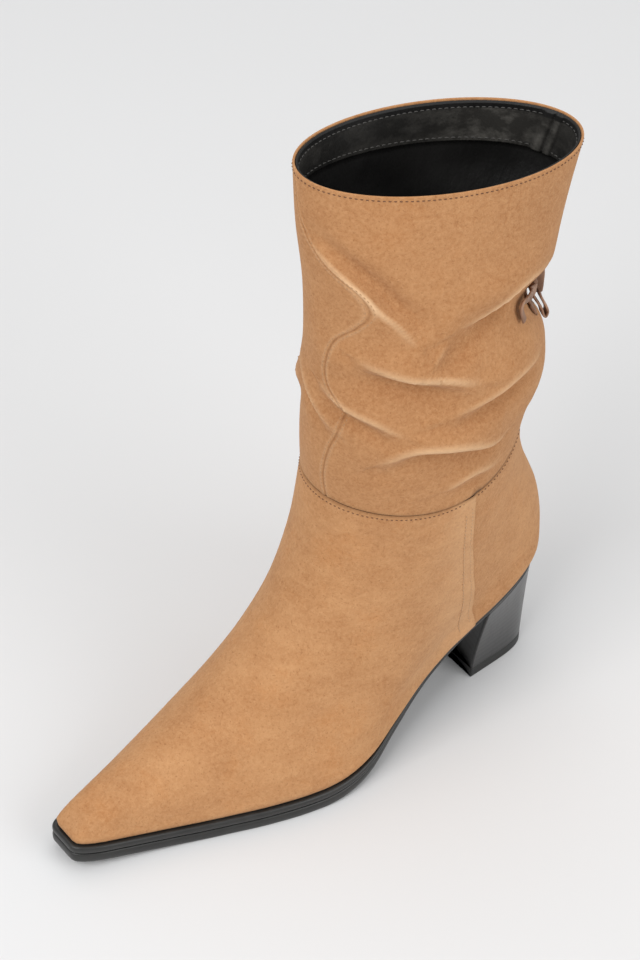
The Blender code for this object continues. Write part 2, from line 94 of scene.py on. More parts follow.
# Tie at the back: a strap in the deepest fold, with a knot, two loops and two ends.
STRAP_THICK = 0.0012
STRAP_WIDTH = 0.0050
STRAP_CLEAR = 0.0004
KNOT_CENTRE = (0.0086, 0.0047, 0.2185)
KNOT_SIZE = (0.0082, 0.0042, 0.0068)
KNOT_TURN = math.radians(-20)
STRAP_ROWS = 60
STRAP_SQUARE = (0.45, 0.6)
PINCH = 0.02

# Fineness of the skins that the pieces are read from, and how far their points crowd
# towards the ends of a ring.
AROUND = 720
END_CROWDING = 0.35
RING_CROWDING = 0.7
OUTLINE_STEPS = 721
FOOT_ROWS = 300
SHAFT_ROWS = 280
SHAFT_COLUMNS = 330
HEEL_AROUND = 128
HEEL_STEPS = 91
HEEL_FLARE = 1.3
BREAST_STEPS = 12
STITCH_POINTS = 6

# Layers of the wall, and how the front seam dips between two low ridges.
SUEDE = 0.0010
LAYER_GAP = 0.0001
FACING_DEPTH = (0.0185, 0.0045)
FACING_STEP = 0.0005
SEAM_STEP = 0.0006
SEAM_DIP = 0.00030
SEAM_RISE = 0.00022
SEAM_RIDGE = 0.0019
SEAM_WIDTH = 0.0006
SEAM_DRIFT = 0.16
LAP_WIDTH = 0.0036
FEATHER_BULGE = 0.0009

# Sole: how far in its faces reach, and each bead's lower and upper end, bulge and steps.
SOLE_CORE = 0.012
TREAD_EDGE = 0.004
OUTSOLE_BEAD = (0.0, 1.0, 0.0009, 9)
WELT_BEAD = (0.02, 0.98, 0.0013, 13)

# Places at the back: seam of the lining, and the strap's bar in the fold.
BACK_SEAM = 0.575
BAR_AROUND = (0.385, 0.635)
BAR_UP = (0.4048, 0.4352)

# Lining: its distance from the suede, how it keeps inside the folds up to where it meets
# the suede again, its columns, the back seam's strip and the slit in it, its runs of rings
# as first, last and count, and between which rings from the end the facing has painted sheen.
LINING_EASE = 0.0006
LINING_SLACK = 0.0010
LINING_REACHES = (1, 2, 4, 6, 8)
LINING_MEETS = 0.80
LINING_COLUMNS = 420
STRIP_THICK, STRIP_HALF = 0.0011, 0.024
SLIT_DEEP, SLIT_HALF = 0.0012, 0.0022
LINING_RUNS = ((0.03, 0.985, 36), (0, 1, 50), (0, 1, 40))
FACING_LIT = (48, 14)

# Stitches: pitch, length and thickness of each kind of row, then the rows' distances from
# edges and seams. The ankle's row is at a share of the foot's rings.
COLLAR_STITCH = (0.0022, 0.0015, 0.00050)
ANKLE_STITCH = (0.0021, 0.0013, 0.00045)
SIDE_STITCH = (0.0022, 0.0014, 0.00045)
FRONT_STITCH = (0.0022, 0.0014, 0.00040)
FACING_STITCH = (0.0028, 0.0020, 0.00050)
RIM_STITCH = (0.0026, 0.0018, 0.00050)
COLLAR_ROW = 0.0018
ANKLE_ROW = 0.991
SIDE_ROWS = (0.0009, 0.0029)
FRONT_ROWS = (-0.0018, 0.0018)
FACING_ROW = 0.0018
RIM_ROW = 0.0034
THREAD_SINK = 0.0002
THREAD_LIFT = 0.0002

# Mean girths of shaft and foot, by which shares around become lengths.
SHAFT_GIRTH = math.pi * (COLLAR_HALF_LENGTH + COLLAR_HALF_WIDTH)
FOOT_GIRTH = 2 * math.pi * BALL_HALF

# Colours.
SUEDE_MID = (0.480, 0.235, 0.098, 1)
SUEDE_DARK = (0.355, 0.155, 0.060, 1)
SUEDE_LIGHT = (0.640, 0.360, 0.175, 1)
SUEDE_PIT = (0.290, 0.120, 0.045, 1)
SUEDE_WARM = (0.500, 0.215, 0.075, 1)
# Painted highlight over worn nap on crests, and on lapped edges and seam ridges.
SUEDE_WORN_AND_LIT = (0.770, 0.510, 0.300, 1)
# Painted shadow along hems, seams and the feather line.
SUEDE_EDGE_SHADE = (0.10, 0.05, 0.025, 1)
SUEDE_SHEEN = (0.95, 0.72, 0.52, 1)
# Painted shade: the shaft is the foot's suede, darkened by this share towards SUEDE_DARK.
SHAFT_SHADE = 0.52
# Painted sheen colour of the lining's facing.
LEATHER_LIT = (0.150, 0.142, 0.128, 1)
LACQUER_DARK = (0.012, 0.0115, 0.011, 1)
LACQUER_LIGHT = (0.026, 0.025, 0.023, 1)
STRAP_DARK = (0.140, 0.066, 0.036, 1)
STRAP_PALE = (0.42, 0.240, 0.150, 1)

# Studio: half the floor's side, the sky, and lamps by name, place, size and power.
FLOOR_HALF = 6.0
SKY_STRENGTH = 0.50
LIGHT_AIM = (0, -0.09, 0.12)
LIGHTS = (
    ("key", (0.3, -1.6, 1.7), 1.3, 26),
    ("fill", (1.7, 0.5, 1.0), 1.4, 15),
    ("top", (-0.4, 0.3, 2.0), 1.8, 11),
)

# Feather line, where the upper meets the welt: share of the way from toe to back,
# then half width and centre line as shares of BALL_HALF.
OUTLINE = (
    # along, half, centre
    (0.000, 0.160, -0.095),
    (0.010, 0.228, -0.083),
    (0.035, 0.292, -0.072),
    (0.085, 0.391, -0.070),
    (0.170, 0.571, -0.067),
    (0.250, 0.737, -0.040),
    (0.330, 0.887, 0.000),
    (0.400, 0.976, 0.037),
    (0.465, 1.000, 0.072),
    (0.525, 0.944, 0.096),
    (0.600, 0.805, 0.095),
    (0.680, 0.700, 0.080),
    (0.760, 0.690, 0.045),
    (0.840, 0.724, 0.000),
    (0.905, 0.705, -0.059),
    (0.955, 0.590, -0.096),
    (0.985, 0.375, -0.120),
    (1.000, 0.000, -0.134),
)

# Underside of the outsole: share of the way from toe to back, the height as a
# share of TOE_SPRING and of HEEL_HEIGHT, and how far the plates are at full thickness.
SOLE_LINE = (
    # along, spring, heel, thick
    (0.000, 1.00, 0.000, 1.0),
    (0.100, 0.42, 0.000, 1.0),
    (0.200, 0.06, 0.000, 1.0),
    (0.270, 0.00, 0.000, 1.0),
    (0.430, 0.00, 0.000, 1.00),
    (0.510, 0.00, 0.065, 0.85),
    (0.590, 0.00, 0.250, 0.45),
    (0.670, 0.00, 0.490, 0.15),
    (0.750, 0.00, 0.710, 0.0),
    (0.830, 0.00, 0.890, 0.0),
    (0.905, 0.00, 1.000, 0.0),
    (1.000, 0.00, 1.095, 0.0),
)

# Rings of the foot part above the feather line, up to the ankle seam. The tip is on
# the ridge of the vamp: its place is a share of TOE_REACH, its height over the feather
# line a share of INSTEP_RISE. The back is on the heel curve, with shares of SEAT_REACH
# and COUNTER_RISE. Half, tip_x and back_x are shares of BALL_HALF. Front and rear say
# how blunt the ends are (0.5 is round), outline how far the ring keeps the feather
# line's shape, follow how far it keeps its rise, sag how far its sides dip.
FOOT_TABLE = (
    # rise, tip_y, tip_rise, back_y, back_rise, half, tip_x, back_x, front, rear,
    # outline, follow, sag
    (0.08, -0.998, 0.035, 1.10, 0.07, 1.03, -0.09, -0.13, 0.50, 0.50, 1.00, 1.00, 0.00),
    (0.18, -0.970, 0.085, 1.13, 0.15, 1.02, -0.08, -0.13, 0.66, 0.46, 0.80, 0.95, 0.00),
    (0.30, -0.888, 0.145, 1.10, 0.24, 1.02, -0.07, -0.12, 0.64, 0.46, 0.45, 0.85, 0.00),
    (0.43, -0.765, 0.236, 0.98, 0.35, 1.01, -0.06, -0.11, 0.62, 0.46, 0.20, 0.70, 0.00),
    (0.57, -0.645, 0.350, 0.78, 0.47, 1.00, -0.05, -0.10, 0.58, 0.47, 0.08, 0.50, 0.00),
    (0.71, -0.534, 0.520, 0.54, 0.61, 1.01, -0.05, -0.09, 0.53, 0.48, 0.00, 0.30, 0.02),
    (0.85, -0.462, 0.745, 0.32, 0.79, 1.04, -0.06, -0.08, 0.50, 0.50, 0.00, 0.15, 0.055),
    (1.00, -0.430, 1.000, 0.18, 1.00, 1.06, -0.07, -0.07, 0.50, 0.50, 0.00, 0.00, 0.075),
)

# Rings of the shaft from the ankle seam to the collar: height and side shift as
# shares of the way up and of COLLAR_HALF_WIDTH, half sizes as shares of the collar's.
SHAFT_TABLE = (
    # rise, shift_x, shift_y, length, width, turn
    (0.12, -0.06, -0.750, 0.88, 1.24, 0.0),
    (0.28, -0.03, -0.727, 0.902, 1.28, 2.0),
    (0.48, -0.06, -0.715, 0.89, 1.18, 6.0),
    (0.66, -0.10, -0.690, 0.91, 1.10, 10.0),
    (0.84, -0.17, -0.660, 0.96, 1.04, 14.0),
    (1.00, -0.22, -0.620, 0.99, 1.00, 18.0),
)

# Main folds of the shaft. Each runs along a path of places, in turns around from the
# front by the outer side, and in shares of the rise from ankle seam to collar. Ridge is
# its height in the middle (a trough where under 0), lip how far its upper edge stands
# out over its lower edge.
FOLD_TABLE = (
    # name, width, ridge, lip, path
    ("back pinch", 0.0112, -0.0100, 0.0040,
     ((0.70, 0.34), (0.60, 0.41), (0.50, 0.44), (0.43, 0.47), (0.36, 0.55), (0.29, 0.59))),
    ("outer pinch", 0.0090, -0.0015, 0.0030,
     ((0.33, 0.62), (0.28, 0.63), (0.23, 0.59), (0.18, 0.48))),
    ("back bulge", 0.0120, 0.0025, 0.0000,
     ((0.30, 0.25), (0.40, 0.21), (0.55, 0.19), (0.66, 0.18))),
    ("outer ridge", 0.0080, 0.0020, 0.0025,
     ((0.04, 0.47), (0.13, 0.49), (0.20, 0.44), (0.27, 0.37))),
    ("low ridge", 0.0075, 0.0015, 0.0020,
     ((0.10, 0.18), (0.17, 0.23), (0.22, 0.22), (0.28, 0.16))),
    ("inner ridge", 0.0090, 0.0025, 0.0040,
     ((0.58, 0.22), (0.68, 0.20), (0.80, 0.23), (0.90, 0.27))),
)
FOLD_STEPS = 40

# Loops and ends of the tie: the directions across the strap where it starts and where
# it ends, then the route's points.
STRAP_TABLE = (
    # name, across at the start, across at the end, route
    ("tie_loop_back", (0.59, 0.81, 0), (0.59, 0.81, 0),
     ((0.0062, 0.0087, 0.2205), (0.0046, 0.0118, 0.2205), (0.0033, 0.0138, 0.2160),
      (0.0030, 0.0141, 0.2105), (0.0028, 0.0141, 0.2065), (0.0016, 0.0149, 0.2048),
      (0.0004, 0.0158, 0.2068), (0.0002, 0.0159, 0.2120), (0.0010, 0.0145, 0.2165),
      (0.0030, 0.0112, 0.2180), (0.0054, 0.0072, 0.2180))),
    ("tie_loop_outer", (0.93, -0.35, 0), (0.93, -0.35, 0),
     ((0.0100, 0.0072, 0.2154), (0.0103, 0.0082, 0.2120), (0.0103, 0.0102, 0.2080),
      (0.0102, 0.0124, 0.2040), (0.0100, 0.0137, 0.2006), (0.0097, 0.0132, 0.1982),
      (0.0095, 0.0119, 0.1992), (0.0094, 0.0106, 0.2030), (0.0093, 0.0084, 0.2070),
      (0.0091, 0.0060, 0.2110), (0.0090, 0.0046, 0.2144))),
    ("tie_end_outer", (0, 0, 1), (0.6, -0.75, 0.1),
     ((0.0130, 0.0029, 0.2186), (0.0165, -0.0027, 0.2220), (0.0208, -0.0068, 0.2255),
      (0.0242, -0.0118, 0.2280), (0.0266, -0.0166, 0.2290), (0.0282, -0.0186, 0.2270),
      (0.0299, -0.0182, 0.2228))),
    ("tie_end_inner", (0.99, 0.1, 0), (0.99, 0.1, 0),
     ((0.0034, 0.0070, 0.2156), (0.0016, 0.0075, 0.2125), (-0.0006, 0.0085, 0.2090),
      (-0.0022, 0.0105, 0.2045), (-0.0032, 0.0120, 0.2000), (-0.0038, 0.0128, 0.1955),
      (-0.0042, 0.0134, 0.1905), (-0.0044, 0.0136, 0.1860))),
)


def spline(knots, values, at):
    """Smooth curve through the values at the knots, read at the given places."""
    knots = np.asarray(knots, float)
    values = np.asarray(values, float)
    at = np.asarray(at, float)
    slopes = np.gradient(values, knots, axis=0)
    low = np.clip(np.searchsorted(knots, at, side="right") - 1, 0, len(knots) - 2)
    shape = (-1,) + (1,) * (values.ndim - 1)
    step = (knots[low + 1] - knots[low]).reshape(shape)
    t = (at - knots[low]).reshape(shape) / step
    start = (1 + 2 * t) * (1 - t) ** 2 * values[low] + t * (1 - t) ** 2 * step * slopes[low]
    end = t * t * (3 - 2 * t) * values[low + 1] + t * t * (t - 1) * step * slopes[low + 1]
    return start + end


def column(table, index):
    """One column of a table."""
    return np.array([row[index] for row in table])


def read_table(table, index, at):
    """One column of a table over its first column, read at the given places."""
    return spline(column(table, 0), column(table, index), at)


def along_path(path, share):
    """Points at shares of the way along a path of evenly spaced points."""
    return spline(np.linspace(0, 1, len(path)), path, share)


def bell(distance, width, power=2):
    """A bell curve: 1 in the middle and about a third at the width."""
    return np.exp(-(distance / width) ** power)


def unit(vectors):
    """Vectors brought to a length of 1."""
    return vectors / np.linalg.norm(vectors, axis=-1, keepdims=True)


def half_turns(turns):
    """Turns brought to between minus a half and a half."""
    return (turns + 0.5) % 1 - 0.5


def sweep_of(along):
    """Angle from the toe (0) over the side to the back (pi) at a share of the length."""
    return np.arccos(1 - 2 * np.clip(along, 0, 1))


def along_of(sweep):
    """Share of the length at an angle from the toe over the side to the back."""
    return (1 - np.cos(sweep)) / 2


def share_at(y):
    """Share of the way from toe to back at a place along the foot."""
    return np.clip((y + TOE_REACH) / (TOE_REACH + SEAT_REACH), 0, 1)


def place_at(along):
    """Place along the foot at a share of the way from toe to back."""
    return (TOE_REACH + SEAT_REACH) * along - TOE_REACH


def outline_half(along, index=1):
    """Half width of the feather line."""
    knots = sweep_of(column(OUTLINE, 0))
    return BALL_HALF * spline(knots, column(OUTLINE, index), sweep_of(along))


def outline_centre(along):
    """Centre line of the feather line, the next column of its table."""
    return outline_half(along, 2)


def sole_bottom(y):
    """Height of the outsole's underside."""
    spring, heel = (read_table(SOLE_LINE, index, share_at(y)) for index in (1, 2))
    return TOE_SPRING * np.maximum(spring, 0) + HEEL_HEIGHT * np.maximum(heel, 0)


def thickness(y, thin, thick):
    """A plate's thickness, full in the forefoot and thin under waist and seat."""
    full = read_table(SOLE_LINE, 3, share_at(y))
    return thin + (thick - thin) * np.clip(full, 0, 1)


def welt_bottom(y):
    """Height of the welt's underside, a gap above the outsole's rim."""
    return sole_bottom(y) + thickness(y, OUTSOLE_THIN, OUTSOLE_THICK) + GAP


def feather_height(y):
    """Height of the welt's upper face, which carries the upper."""
    return welt_bottom(y) + thickness(y, WELT_THIN, WELT_THICK)


def even_side(x, y, count, crowding=0.0):
    """Points of one side, from tip to back, evenly spaced or crowded towards its ends."""
    run = np.concatenate(([0], np.cumsum(np.hypot(np.diff(x), np.diff(y)))))
    turn = 2 * math.pi * np.linspace(0, 1, count + 1)
    places = run[-1] * (turn - crowding * np.sin(turn)) / (2 * math.pi)
    return np.interp(places, run, x), np.interp(places, run, y)


def closed_loop(outer, inner):
    """A loop from its two sides: tip, outer side, back, inner side."""
    x = np.concatenate((outer[0], inner[0][-2:0:-1]))
    y = np.concatenate((outer[1], inner[1][-2:0:-1]))
    return x, y


def closed_ring(centre, half, y):
    """A loop from its centre line and half widths along the foot."""
    sides = []
    for side in (1, -1):
        x = np.concatenate(([centre[0]], centre + side * half))
        sides.append(even_side(x, np.concatenate(([y[0]], y)), AROUND // 2, END_CROWDING))
    return closed_loop(*sides)


def outline_side(side, outset):
    """One side of the feather line, moved outwards square to itself by outset(y)."""
    along = along_of(np.linspace(0, math.pi, OUTLINE_STEPS))
    half = np.concatenate(([0], outline_half(along)))
    centre = outline_centre(along)
    x = side * centre[[0, *range(OUTLINE_STEPS)]] + half
    y = place_at(along)
    x, y = even_side(x, np.concatenate(([y[0]], y)), OUTLINE_STEPS - 1)
    step_x = np.gradient(x)
    step_y = np.gradient(y)
    out = outset(y)
    run = np.hypot(step_x, step_y)
    moved_x = x + out * step_y / run
    moved_y = y - out * step_x / run
    moved_y[[0, -1]] = y[0] - out[0], y[-1] + out[-1]
    # Moved inwards, the flat toe ends where the moved side crosses it.
    flank = step_y > abs(step_x)
    moved_x = np.minimum(moved_x, np.interp(moved_y, moved_y[flank], moved_x[flank]))
    moved_x[[0, -1]] = x[[0, -1]]
    return even_side(side * moved_x, moved_y, AROUND // 2, END_CROWDING)


def outline_ring(outset):
    """The feather line moved outwards by a function of the place along the foot."""
    return closed_loop(outline_side(1, outset), outline_side(-1, outset))


def inset_ring(inset):
    """The feather line moved inwards by a length."""
    return outline_ring(lambda y: np.full_like(y, -inset))


def foot_ring(row):
    """One ring of the foot part, from its row."""
    (_, tip_y, tip_rise, back_y, back_rise, half, tip_x, back_x,
     front, rear, outline, follow, sag) = row
    along = along_of(np.linspace(0, math.pi, OUTLINE_STEPS))
    tip = tip_y * TOE_REACH
    length = back_y * SEAT_REACH - tip
    peak = front / (front + rear)
    bell = along ** front * (1 - along) ** rear / (peak ** front * (1 - peak) ** rear)
    width = half * (outline * outline_half(along) + (1 - outline) * BALL_HALF * bell)
    straight = BALL_HALF * (tip_x + (back_x - tip_x) * along)
    centre = outline * outline_centre(along) + (1 - outline) * straight
    x, y = closed_ring(centre, width, tip + length * along)
    share = (y - tip) / length
    tip_feather = feather_height(tip)
    back_feather = feather_height(tip + length)
    low = tip_feather + tip_rise * INSTEP_RISE
    high = back_feather + back_rise * COUNTER_RISE
    sole = feather_height(y) - tip_feather - share * (back_feather - tip_feather)
    dip = sag * INSTEP_RISE * np.sin(math.pi * share)
    return np.stack((x, y, low + (high - low) * share + follow * sole - dip), axis=1)


def foot_rings(places):
    """Rings of the foot part at places from the feather line (0) to the ankle seam (1)."""
    x, y = inset_ring(0)
    rings = [np.stack((x, y, feather_height(y) + GAP), axis=1)]
    rings += [foot_ring(row) for row in FOOT_TABLE]
    return spline(np.concatenate(([0], column(FOOT_TABLE, 0))), rings, places)


def around_angles():
    """Angles around the shaft from the front by the outer side, as the rings' points go."""
    half = math.pi * np.linspace(0, 1, AROUND // 2 + 1)
    half = half - END_CROWDING * RING_CROWDING * np.sin(2 * half) / 2
    return np.concatenate((half, 2 * math.pi - half[-2:0:-1]))


def shaft_ring(row, ankle):
    """One ring of the shaft, from its row, over the ankle seam's ring."""
    rise, shift_x, shift_y, length, width, turn = row
    around = around_angles()
    x = COLLAR_HALF_WIDTH * width * np.sin(around)
    y = -COLLAR_HALF_LENGTH * length * np.cos(around)
    angle = math.radians(turn)
    turned_x = x * math.cos(angle) + y * math.sin(angle)
    turned_y = y * math.cos(angle) - x * math.sin(angle)
    top = SHAFT_TOP - COLLAR_DROP * (1 - np.cos(around)) / 2
    height = ankle[:, 2] + (top - ankle[:, 2]) * rise
    return np.stack((turned_x + COLLAR_HALF_WIDTH * shift_x,
                     turned_y + COLLAR_HALF_LENGTH * shift_y, height), axis=1)


def outward(grid):
    """Outward normals of a closed grid of rings."""
    around = np.roll(grid, -1, axis=1) - np.roll(grid, 1, axis=1)
    return unit(np.cross(around, np.gradient(grid, axis=0)))


def fold_depth(around, rise, height):
    """Depth of all folds at places of the shaft, around and rise as in FOLD_TABLE."""
    around, rise = np.broadcast_arrays(around, rise)
    steps = np.linspace(0, 1, FOLD_STEPS)
    depth = np.zeros(around.shape)
    for _, width, ridge, lip, path in FOLD_TABLE:
        line = along_path(path, steps)
        away = half_turns(around[..., None] - line[:, 0]) * SHAFT_GIRTH
        above = (rise[..., None] - line[:, 1]) * height
        distance = np.hypot(away, above)
        nearest = distance.argmin(axis=-1)
        pick = nearest[..., None]
        off = np.take_along_axis(distance, pick, -1)[..., 0]
        over = np.take_along_axis(above, pick, -1)[..., 0] / width
        fade = np.sin(math.pi * (0.1 + 0.8 * steps[nearest]))
        depth = depth + fade * (ridge + lip * over) * bell(off, width)
    return depth


def shaft_rings(places):
    """Rings of the shaft at places from the ankle seam (0) to the collar (1)."""
    ankle = foot_rings([1.0])[0] + [0, 0, GAP]
    rings = [ankle] + [shaft_ring(row, ankle) for row in SHAFT_TABLE]
    grid = spline(np.concatenate(([0], column(SHAFT_TABLE, 0))), rings, places)
    around = around_angles()[None, :] / (2 * math.pi)
    height = SHAFT_TOP - ankle[:, 2].mean()
    depth = fold_depth(around, np.asarray(places)[:, None], height)
    return grid + outward(grid) * depth[:, :, None]


def lifted(ring, height_of):
    """A plan ring with the height that a function gives along the foot."""
    x, y = ring
    return np.stack((x, y, height_of(y)), axis=1)


def ledge(share):
    """How far the sole stands out past the feather line, less a share of the groove."""
    return lambda y: thickness(y, LEDGE_NARROW, LEDGE_WIDE) - share * GROOVE


def heel_ring(half, centre, y, height_of):
    """A ring of the block heel: hollow breast, sides and round back."""
    breast = np.linspace(0, 1, BREAST_STEPS + 1)
    sides = []
    for side in (1, -1):
        front_x = centre[0] + side * half[0] * breast
        front_y = y[0] + BREAST_HOLLOW * (1 - breast ** 2)
        x, back_y = even_side(centre + side * half, y, HEEL_AROUND // 2 - BREAST_STEPS)
        sides.append((np.concatenate((front_x, x[1:])), np.concatenate((front_y, back_y[1:]))))
    return lifted(closed_loop(*sides), height_of)


def heel_top():
    """The heel's upper ring, under the outsole's seat."""
    start = sweep_of(share_at(-HEEL_BREAST))
    along = along_of(np.linspace(start, math.pi, HEEL_STEPS))
    return heel_ring(outline_half(along), outline_centre(along), place_at(along),
                     lambda y: sole_bottom(y) - GAP)


def heel_bottom(height):
    """The heel's lower outline, a squared oval, at a height."""
    share = np.sin(np.linspace(0, math.pi / 2, HEEL_STEPS))
    half = HEEL_BOTTOM_HALF * (1 - share ** 6) ** (1 / 3)
    run = (HEEL_BREAST + HEEL_BOTTOM_BACK) * share
    return heel_ring(half, -math.tan(HEEL_SWING) * run, run - HEEL_BREAST,
                     lambda y: np.full_like(y, height))


# Creases in the shaft beyond its main folds. Each follows a path of places, in shares
# around the ring from the front by the outer side and up from the ankle seam. Its crest
# is soft on the left of the path and steep on the right; light is the strength of the
# crest's painted highlight, over its worn nap, and of the painted shade in its trough.
CREASE_TABLE = (
    # name, soft, steep, height, light, path
    ("front diagonal", 0.0140, 0.0028, 0.0028, 0.80,
     ((0.188, 0.585), (0.173, 0.638), (0.154, 0.681), (0.135, 0.731), (0.100, 0.785),
      (0.060, 0.825))),
    ("back lip", 0.0140, 0.0026, 0.0028, 1.0,
     ((0.240, 0.600), (0.266, 0.619), (0.288, 0.645), (0.317, 0.665), (0.360, 0.640))),
    ("short branch", 0.0060, 0.0018, 0.0012, 0.6,
     ((0.199, 0.512), (0.212, 0.538), (0.224, 0.575))),
    ("outer shelf", 0.0130, 0.0028, 0.0032, 1.0,
     ((0.119, 0.519), (0.157, 0.500), (0.189, 0.481), (0.218, 0.462), (0.244, 0.431))),
    ("back shelf", 0.0120, 0.0030, 0.0026, 0.7,
     ((0.215, 0.344), (0.263, 0.369), (0.304, 0.369), (0.346, 0.344))),
    ("front shelf", 0.0110, 0.0028, 0.0026, 0.7,
     ((0.026, 0.394), (0.083, 0.362), (0.128, 0.338), (0.160, 0.306))),
    ("low arc", 0.0120, 0.0026, 0.0030, 0.9,
     ((0.138, 0.206), (0.167, 0.250), (0.192, 0.262), (0.228, 0.244), (0.263, 0.200),
      (0.285, 0.194))),
    ("low back", 0.0060, 0.0020, 0.0010, 0.6, ((0.218, 0.075), (0.250, 0.094), (0.285, 0.062))),
    ("front edge", 0.0070, 0.0022, 0.0016, 0.5,
     ((0.900, 0.400), (0.950, 0.380), (0.981, 0.344), (0.020, 0.300), (0.054, 0.269))),
    ("inner shelf", 0.0120, 0.0028, 0.0034, 0.8,
     ((0.600, 0.260), (0.680, 0.230), (0.760, 0.235), (0.840, 0.270), (0.900, 0.300))),
    ("inner trough", 0.0080, 0.0025, 0.0018, 0.6,
     ((0.680, 0.470), (0.740, 0.500), (0.800, 0.490), (0.860, 0.450))),
    ("inner low", 0.0070, 0.0020, 0.0014, 0.6, ((0.660, 0.110), (0.740, 0.130), (0.820, 0.120))),
)
# Shallow hollows in the shaft, with painted shade in them.
HOLLOW_TABLE = (
    # around, up, size around, size up, depth, shade
    (0.210, 0.530, 0.045, 0.040, 0.0010, 0.35),
    (0.130, 0.440, 0.050, 0.040, 0.0006, 0.25),
    (0.175, 0.385, 0.050, 0.030, 0.0008, 0.30),
    (0.235, 0.320, 0.040, 0.030, 0.0010, 0.35),
    (0.150, 0.620, 0.016, 0.040, 0.0004, 0.22),
    (0.230, 0.170, 0.050, 0.035, 0.0006, 0.25),
    (0.245, 0.540, 0.020, 0.030, 0.0006, 0.25),
)
CREASE_STEPS = 96
CREASE_FADE = 0.06
CREASE_TROUGH = 0.0058
CREASE_TROUGH_WIDTH = 0.0042
CREASE_LIP = 0.0005
CREASE_LIP_WIDTHS = (0.0008, 0.0020)
# Painted highlight on a crease's lip and painted shade in its trough, per unit of light.
LIP_LIGHT = 1.05
TROUGH_SHADE = 0.55

# Seams, as places around for each height. The front seam of the shaft wanders with the
# folds; the side seams of the foot lean back towards the sole.
FRONT_SEAM = (
    # up, around
    (0.00, 0.034), (0.06, 0.028), (0.19, 0.042), (0.29, 0.068), (0.37, 0.074), (0.41, 0.048),
    (0.50, 0.052), (0.56, 0.074), (0.62, 0.118), (0.67, 0.140), (0.73, 0.128), (0.80, 0.070),
    (0.88, 0.016), (1.00, 0.000),
)
SIDE_SEAM = (
    # up, around
    (0.00, 0.352), (0.27, 0.333), (0.58, 0.298), (0.83, 0.269), (1.00, 0.260),
)


class Skin:
    """A closed band of surface: a grid of rings, read anywhere by shares around and up."""

    def __init__(self, grid):
        self.grid = grid
        self.normal = outward(grid)

    def read(self, field, around, up):
        """A field of the grid between its points."""
        around, up = np.broadcast_arrays(np.asarray(around, float), np.asarray(up, float))
        rows, columns = field.shape[:2]
        row = np.clip(up, 0, 1) * (rows - 1)
        column_at = (around % 1) * columns
        low = np.minimum(row.astype(int), rows - 2)
        left = column_at.astype(int) % columns
        right = (left + 1) % columns
        v = (row - low)[..., None]
        u = (column_at - np.floor(column_at))[..., None]
        below = field[low, left] * (1 - u) + field[low, right] * u
        above = field[low + 1, left] * (1 - u) + field[low + 1, right] * u
        return below * (1 - v) + above * v

    def at(self, around, up, out=0.0):
        """Points of the surface, moved outwards."""
        normal = unit(self.read(self.normal, around, up))
        return self.read(self.grid, around, up) + normal * np.asarray(out)[..., None]


def shaft_height(grid):
    """Height of the shaft's skin over the middle of its lowest ring."""
    return SHAFT_TOP - grid[0, :, 2].mean()


def crease_fields(around, up, height):
    """Depth and painted light of the creases and hollows on a grid of places: painted
    highlight over worn nap on each crest, painted shade in its trough and in the hollows.

    A place's distance from a crease's path is measured on the unrolled shaft. The crest
    falls off as a bell curve, wide on the path's left and narrow on its right, with a
    shallow trough beyond the narrow side.
    """
    depth = np.zeros(around.shape)
    light = np.zeros(around.shape)
    steps = np.linspace(0, 1, CREASE_STEPS)
    for _, soft, steep, crest, wear_and_light, path in CREASE_TABLE:
        path = np.array(path)
        path[:, 0] = np.unwrap(path[:, 0], period=1)
        line = along_path(path, steps)
        ahead = unit(np.gradient(line, axis=0) * (SHAFT_GIRTH, height))
        best = np.full(around.shape, np.inf)
        side = np.zeros(around.shape)
        share = np.zeros(around.shape)
        for step, centre, direction in zip(steps, line, ahead):
            away = half_turns(around - centre[0]) * SHAFT_GIRTH
            above = (up - centre[1]) * height
            distance = np.hypot(away, above)
            nearer = distance < best
            best = np.where(nearer, distance, best)
            side = np.where(nearer, direction[0] * above - direction[1] * away, side)
            share = np.where(nearer, step, share)
        fade = np.sin(math.pi * (0.04 + 0.92 * share)) ** 0.8
        crown = bell(best, np.where(side > 0, soft, steep))
        trough = bell(best - CREASE_TROUGH, CREASE_TROUGH_WIDTH) * (side < 0)
        lip = bell(best, np.where(side < 0, *CREASE_LIP_WIDTHS))
        depth += fade * (crest * (crown - trough) + CREASE_LIP * lip)
        # Painted highlight on the lip over worn nap, painted shade in the trough.
        light += fade * wear_and_light * (LIP_LIGHT * lip - TROUGH_SHADE * trough)
    # Each hollow sinks and gets painted shade.
    for place, rise, wide, tall, deep, shade in HOLLOW_TABLE:
        away = half_turns(around - place) / wide
        dent = np.exp(-away ** 2 - ((up - rise) / tall) ** 2)
        depth -= deep * dent
        light -= shade * dent
    return depth, light


def foot_skin():
    """The outside of vamp and quarters."""
    return Skin(foot_rings(np.linspace(0, 1, FOOT_ROWS)))


def shaft_skin():
    """The outside of the shaft with folds and creases, its inside, and the painted light of
    crests, troughs and hollows.
    """
    up = np.linspace(0, 1, SHAFT_ROWS)
    base = shaft_rings(up)
    around, up = np.broadcast_arrays(np.arange(AROUND)[None, :] / AROUND, up[:, None])
    depth, light = crease_fields(around, up, shaft_height(base))
    fade = np.clip(np.minimum(up, 1 - up) / CREASE_FADE, 0, 1)
    skin = Skin(base + outward(base) * (depth * fade)[:, :, None])
    return skin, Skin(inside_of(skin.grid, up)), light * fade


